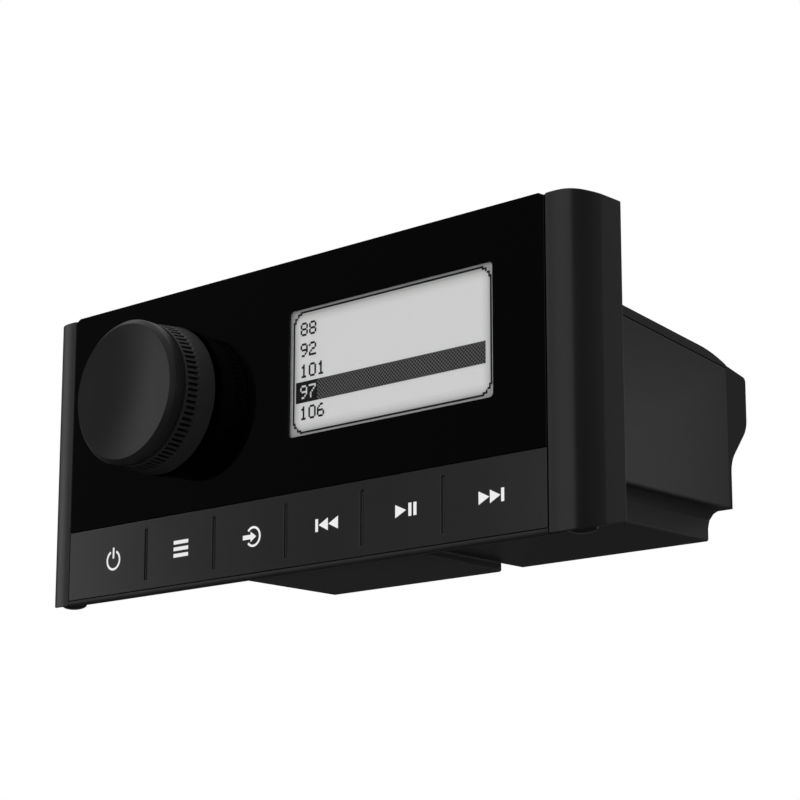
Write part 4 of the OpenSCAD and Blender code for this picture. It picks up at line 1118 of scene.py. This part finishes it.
BAR_END = 128
FRAME_CORNER = 8
SCREEN_RISE = 0.13 * MM
DOT_LIFT = 0.08 * MM
lcd_low, lcd_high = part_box("lcd_panel")
lcd_middle = ((lcd_low.x + lcd_high.x) / 2, (lcd_low.z + lcd_high.z) / 2 + SCREEN_RISE)


def text_dots(text, column, row):
    """The lit dots of a short number; rows count down from the top."""
    dots = set()
    for digit in text:
        for r, line in enumerate(DIGITS[digit]):
            dots |= {(column + c, row + r) for c, lit in enumerate(line) if lit == "1"}
        column += DIGIT_STEP
    return dots


def frame_dots(corner):
    """A one-dot frame line with stepped round corners."""
    dots = set()
    for c in range(corner, DOT_COLUMNS - corner):
        dots |= {(c, 0), (c, DOT_ROWS - 1)}
    for r in range(corner, DOT_ROWS - corner):
        dots |= {(0, r), (DOT_COLUMNS - 1, r)}
    for i in range(24):
        turn = math.radians(90 * i / 23)
        c = round(corner - corner * math.cos(turn))
        r = round(corner - corner * math.sin(turn))
        dots |= {(c, r), (DOT_COLUMNS - 1 - c, r), (c, DOT_ROWS - 1 - r), (DOT_COLUMNS - 1 - c, DOT_ROWS - 1 - r)}
    return dots


full_dots = frame_dots(FRAME_CORNER)
bold_dots = set()
half_dots = set()
for number, text in enumerate(LINES):
    row = FIRST_LINE + number * LINE_PITCH
    letters = text_dots(text, TEXT_COLUMN, row)
    if number == PICKED_LINE:
        bar = {(c, r) for c in range(BAR_START, BAR_END) for r in range(row - 2, row + 9)}
        label_end = TEXT_COLUMN + len(text) * DIGIT_STEP
        half_dots = {(c, r) for c, r in bar if c >= label_end and (c + r) % 2}
        full_dots |= bar - letters - half_dots
    else:
        bold_dots |= letters


def dot_places(dots):
    """Where the dots of the grid are, just in front of the display glass."""
    places = []
    for column, row in sorted(dots):
        x = lcd_middle[0] + (column - (DOT_COLUMNS - 1) / 2) * DOT_PITCH
        z = lcd_middle[1] - (row - (DOT_ROWS - 1) / 2) * DOT_PITCH
        places.append((x, lcd_low.y - DOT_LIFT, z))
    return places


def tile_tree():
    tree, enter, leave, ids = new_tree("tile_on_each_point", [
        ("Tile Size", "NodeSocketVector", (DOT_SIZE, 0.03 * MM, DOT_SIZE)), ("Finish", "NodeSocketMaterial", None)])
    tile = tree.nodes.new("GeometryNodeMeshCube")
    link(tree, enter.outputs["Tile Size"], tile.inputs["Size"])
    place = tree.nodes.new("GeometryNodeInstanceOnPoints")
    link(tree, enter.outputs["Geometry"], place.inputs["Points"])
    link(tree, tile.outputs["Mesh"], place.inputs["Instance"])
    real = tree.nodes.new("GeometryNodeRealizeInstances")
    link(tree, place.outputs[0], real.inputs[0])
    paint = tree.nodes.new("GeometryNodeSetMaterial")
    link(tree, real.outputs[0], paint.inputs[0])
    link(tree, enter.outputs["Finish"], paint.inputs["Material"])
    link(tree, paint.outputs[0], leave.inputs[0])
    return tree, ids


tiles, tile_ids = tile_tree()
for name, dots, ink, size in (("display_dots", full_dots, display_ink, DOT_SIZE),
                              ("display_digits", bold_dots, display_ink, BOLD_SIZE),
                              ("display_half_dots", half_dots, display_half_ink, DOT_SIZE)):
    point_mesh = bpy.data.meshes.new("dot_points")
    point_mesh.from_pydata(dot_places(dots), [], [])
    dots_mesh = run_tree(tiles, tile_ids, point_mesh, {"Tile Size": (size, 0.03 * MM, size), "Finish": ink}, name)
    as_piece(name, dots_mesh, ink, "unit", "display_glass")
    print(name, len(dots), "dots")


def border_plate():
    """The grey border round the dots: a plate with a rounded opening, as a strip of quads."""
    low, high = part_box("lcd_frame")
    half = ((DOT_COLUMNS - 1) / 2 * DOT_PITCH, (DOT_ROWS - 1) / 2 * DOT_PITCH)
    corner = FRAME_CORNER * DOT_PITCH
    steps = 10
    inner = []
    outer = []
    for quarter, (sx, sz) in enumerate(((1, 1), (-1, 1), (-1, -1), (1, -1))):
        for i in range(steps + 1):
            turn = math.radians(90 * quarter + 90 * i / steps)
            inner.append((lcd_middle[0] + sx * (half[0] - corner) + corner * math.cos(turn),
                          lcd_middle[1] + sz * (half[1] - corner) + corner * math.sin(turn)))
            outer.append((high.x if sx > 0 else low.x, high.z if sz > 0 else low.z))
    work = bmesh.new()
    rows = []
    for ring, y in ((inner, lcd_low.y - 0.06 * MM), (outer, lcd_low.y - 0.06 * MM), (outer, lcd_low.y), (inner, lcd_low.y)):
        rows.append([work.verts.new((x, y, z)) for x, z in ring])
    count = len(inner)
    for first, second in zip(rows, rows[1:] + rows[:1]):
        for i in range(count):
            k = (i + 1) % count
            work.faces.new((first[i], first[k], second[k], second[i]))
    bmesh.ops.remove_doubles(work, verts=work.verts, dist=1e-6)
    bmesh.ops.recalc_face_normals(work, faces=work.faces)
    mesh = bpy.data.meshes.new("display_border")
    work.to_mesh(mesh)
    work.free()
    return mesh


as_piece("display_border", border_plate(), finishes["display_grey"], "unit", "display_grey", "lcd_frame")


# %% [markdown]
# ## Symbols on the keys
# The keys carry the usual white signs: power, menu, source, previous, play and pause, next. Each is a flat
# shape printed on the key, so it is drawn from bars, rings and triangles in the plane of the key, given the
# thickness of ink, and put on the body of its own key so that it moves when the key is pressed.

# %% Symbols on the keys
INK = 0.04 * MM
key_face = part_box("key_menu")[0].y


def ring_part(r_out, stroke, start, end, steps=40):
    """A ring or part of one, as a strip of quads; angles from the right, anticlockwise."""
    turns = [math.radians(start + (end - start) * i / steps) for i in range(steps + 1)]
    points = []
    for turn in turns:
        for radius in (r_out - stroke, r_out):
            points.append((radius * math.cos(turn), radius * math.sin(turn)))
    return points, [(2 * i, 2 * i + 1, 2 * i + 3, 2 * i + 2) for i in range(steps)]


def bar_shape(x0, x1, z0, z1):
    return [(x0, z0), (x1, z0), (x1, z1), (x0, z1)], [(0, 1, 2, 3)]


def pointing(x_base, x_tip, half):
    points = [(x_base, -half), (x_tip, 0), (x_base, half)]
    return points, [(0, 1, 2) if x_tip > x_base else (2, 1, 0)]


def shifted(shape, dx, dz):
    points, faces = shape
    return [(x + dx, z + dz) for x, z in points], faces


def rim_edges(faces):
    """The directed edges of a shape that no other face shares."""
    directed = {(face[i], face[(i + 1) % len(face)]) for face in faces for i in range(len(face))}
    return [(a, b) for a, b in directed if (b, a) not in directed]


SYMBOLS = {
    "key_power": ((-60.9, -27.4), [shifted(ring_part(2.6, 0.56, 116, 424), 0, -0.25),
                                   bar_shape(-0.3, 0.3, 0.2, 2.95)]),
    "key_menu": ((-36.0, -27.5), [bar_shape(-2.6, 2.6, z - 0.46, z + 0.46) for z in (-1.62, 0, 1.62)]),
    "key_source": ((-11.2, -27.6), [shifted(ring_part(2.5, 0.55, -140, 140), 0.4, 0),
                                    bar_shape(-3.1, -0.5, -0.55, 0.55), pointing(-0.5, 1.4, 1.25)]),
    "key_previous": ((13.3, -27.55), [bar_shape(-3.6, -2.75, -1.5, 1.5), pointing(0.4, -2.55, 1.5),
                                      pointing(3.6, 0.55, 1.5)]),
    "key_play": ((37.8, -27.4), [pointing(-3.2, 0.05, 1.5), bar_shape(0.75, 1.65, -1.5, 1.5),
                                 bar_shape(2.25, 3.15, -1.5, 1.5)]),
    "key_next": ((62.6, -27.55), [pointing(-3.6, -0.55, 1.5), pointing(-0.4, 2.55, 1.5),
                                  bar_shape(2.75, 3.6, -1.5, 1.5)]),
}


def printed(name, middle, shapes):
    """Flat shapes with the thickness of ink, in front of a key."""
    work = bmesh.new()
    for points, faces in shapes:
        front = []
        back = []
        for x, z in points:
            at = (middle[0] + x) * MM, (middle[1] + z) * MM
            front.append(work.verts.new((at[0], key_face - INK, at[1])))
            back.append(work.verts.new((at[0], key_face, at[1])))
        for face in faces:
            work.faces.new([front[i] for i in face])
            work.faces.new([back[i] for i in reversed(face)])
        for a, b in rim_edges(faces):
            work.faces.new((front[b], front[a], back[a], back[b]))
    mesh = bpy.data.meshes.new(name)
    work.to_mesh(mesh)
    work.free()
    return mesh


for key, (middle, shapes) in SYMBOLS.items():
    as_piece(key + "_symbol", printed(key + "_symbol", middle, shapes), symbol_white, key, "key_black")
print("symbols on", len(SYMBOLS), "keys")


# %% [markdown]
# ## Screws
# The screws on the lid and on the back of the flange have low round heads with a crossed recess. One screw
# is turned and cut once, and Geometry Nodes set it at each place, because a shape that repeats should be
# drawn only once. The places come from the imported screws, so each sits in its own hole.

# %% Screws
def islands(node):
    """The boxes of the separate solids of a node, as (low, high)."""
    work = bmesh.new()
    work.from_mesh(nodes[node].data)
    bmesh.ops.remove_doubles(work, verts=work.verts, dist=1e-6)
    left = set(work.verts)
    boxes = []
    while left:
        seed = left.pop()
        stack = [seed]
        group = [seed]
        while stack:
            for edge in stack.pop().link_edges:
                for vert in edge.verts:
                    if vert in left:
                        left.discard(vert)
                        stack.append(vert)
                        group.append(vert)
        places = [v.co.copy() for v in group]
        boxes.append((Vector([min(p[i] for p in places) for i in range(3)]),
                      Vector([max(p[i] for p in places) for i in range(3)])))
    work.free()
    return boxes


def screw_mesh(head_r, head_h, shank_r, shank_l):
    """A screw along Y with the top of its head at 0 and its tip at -Y, and a crossed recess."""
    soft = head_h * 0.5
    profile = [(0, 0)] + [(head_r - soft + soft * math.sin(t), -soft + soft * math.cos(t))
                          for t in [math.radians(90 * i / 6) for i in range(7)]]
    profile += [(head_r, -head_h), (shank_r, -head_h), (shank_r, -head_h - shank_l + 0.4 * MM),
                (shank_r * 0.6, -head_h - shank_l), (0, -head_h - shank_l)]
    base = hidden_object("screw", turned(profile, (0, 0), 40))
    arms = []
    for turn in (0, 90):
        arm = bmesh.new()
        bmesh.ops.create_cube(arm, size=1)
        bmesh.ops.scale(arm, vec=(head_r * 1.15, head_h * 1.1, head_r * 0.24), verts=arm.verts)
        bmesh.ops.rotate(arm, cent=(0, 0, 0), matrix=Matrix.Rotation(math.radians(turn), 3, "Y"), verts=arm.verts)
        mesh = bpy.data.meshes.new("arm")
        arm.to_mesh(mesh)
        arm.free()
        arms.append(hidden_object("arm", mesh))
    mesh = joined(base, arms, "DIFFERENCE")
    shade(mesh, math.radians(35))
    return mesh


def screw_tree():
    tree, enter, leave, ids = new_tree("screw_on_each_point", [
        ("Screw", "NodeSocketObject", None), ("Turn", "NodeSocketVector", (0, 0, 0)),
        ("Finish", "NodeSocketMaterial", None)])
    screw = tree.nodes.new("GeometryNodeObjectInfo")
    link(tree, enter.outputs["Screw"], screw.inputs["Object"])
    place = tree.nodes.new("GeometryNodeInstanceOnPoints")
    link(tree, enter.outputs["Geometry"], place.inputs["Points"])
    link(tree, screw.outputs["Geometry"], place.inputs["Instance"])
    link(tree, enter.outputs["Turn"], place.inputs["Rotation"])
    real = tree.nodes.new("GeometryNodeRealizeInstances")
    link(tree, place.outputs[0], real.inputs[0])
    paint = tree.nodes.new("GeometryNodeSetMaterial")
    link(tree, real.outputs[0], paint.inputs[0])
    link(tree, enter.outputs["Finish"], paint.inputs["Material"])
    link(tree, paint.outputs[0], leave.inputs[0])
    return tree, ids


screws, screw_ids = screw_tree()


def set_screws(node, axis, turn, head_h, shank_r):
    """Replaces a node of screws; axis is the way that the heads face."""
    spots = []
    for low, high in islands(node):
        middle = (low + high) / 2
        middle[axis] = high[axis]
        spots.append(tuple(middle))
        across = 0 if axis != 0 else 1
        head_r = (high[across] - low[across]) / 2
        length = high[axis] - low[axis]
    master = hidden_object("screw_master", screw_mesh(head_r, head_h, shank_r, length - head_h))
    places = bpy.data.meshes.new("screw_places")
    places.from_pydata(spots, [], [])
    mesh = run_tree(screws, screw_ids, places, {"Screw": master, "Turn": turn, "Finish": finishes["screw_steel"]},
                    "set_" + node)
    bpy.data.objects.remove(master)
    as_piece("set_" + node, mesh, finishes["screw_steel"], nodes[node]["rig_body"], "screw_steel", node)
    print(node, len(spots), "screws, head radius", round(head_r / MM, 2), "mm")


set_screws("cover_screws", 2, (math.radians(90), 0, 0), 1.2 * MM, 1.2 * MM)
set_screws("bezel_screws", 1, (0, 0, 0), 1.5 * MM, 1.2 * MM)
set_screws("board_screws", 2, (math.radians(90), 0, 0), 1.2 * MM, 1.2 * MM)


# %% [markdown]
# ## Sockets on the back
# The line and antenna sockets are turned metal sleeves, and the small one has a thread. They are spun from
# profiles like the knob's disc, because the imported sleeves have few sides. A real helix could be made for the
# thread, but rings of the same pitch look the same at this size.

# %% Sockets on the back
def tube(outline, bore, back_r, centre, start, steps=72):
    """A sleeve along Y: an outline of (radius, y) outside and a plain bore inside."""
    end = outline[-1][1]
    profile = [(bore, start)] + [(back_r, start)] + outline + [(bore, end)]
    return turned(profile, centre, steps, closed=True)


def merged(meshes, name):
    work = bmesh.new()
    for mesh in meshes:
        work.from_mesh(mesh)
    made = bpy.data.meshes.new(name)
    work.to_mesh(made)
    work.free()
    shade(made, math.radians(40))
    return made


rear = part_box("top_cover")[1].y
line_low, line_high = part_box("rca_shells")
line_end = line_high.y
sleeves = []
for low, high in islands("rca_shells"):
    centre = ((low.x + high.x) / 2, (low.z + high.z) / 2)
    outline = [(3.9 * MM, rear), (4.4 * MM, rear), (4.4 * MM, rear + 1.3 * MM), (4.2 * MM, rear + 1.5 * MM),
               (4.1 * MM, rear + 1.6 * MM), (4.1 * MM, line_end - 1.6 * MM), (4.15 * MM, line_end - 1.4 * MM),
               (4.15 * MM, line_end - 0.4 * MM), (3.8 * MM, line_end)]
    sleeves.append(tube(outline, 3.45 * MM, 3.9 * MM, centre, low.y))
as_piece("line_sleeves", merged(sleeves, "line_sleeves"), finishes["tin_can"], "unit", "tin_can", "rca_shells")

thread_low, thread_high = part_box("digital_socket")
thread_at = ((thread_low.x + thread_high.x) / 2, (thread_low.z + thread_high.z) / 2)
thread = [(3.1 * MM, rear), (4.5 * MM, rear), (4.5 * MM, rear + 2.4 * MM), (2.85 * MM, rear + 2.5 * MM)]
ridge = rear + 2.7 * MM
while ridge < thread_high.y - 0.9 * MM:
    thread += [(2.85 * MM, ridge), (3.1 * MM, ridge + 0.25 * MM), (2.85 * MM, ridge + 0.5 * MM)]
    ridge += 0.7 * MM
thread.append((2.85 * MM, thread_high.y))
as_piece("threaded_sleeve", tube(thread, 2.05 * MM, 3.1 * MM, thread_at, thread_low.y), finishes["contact_brass"],
         "unit", "contact_brass", "digital_socket")
print("sockets:", len(sleeves), "line sleeves and a threaded one")
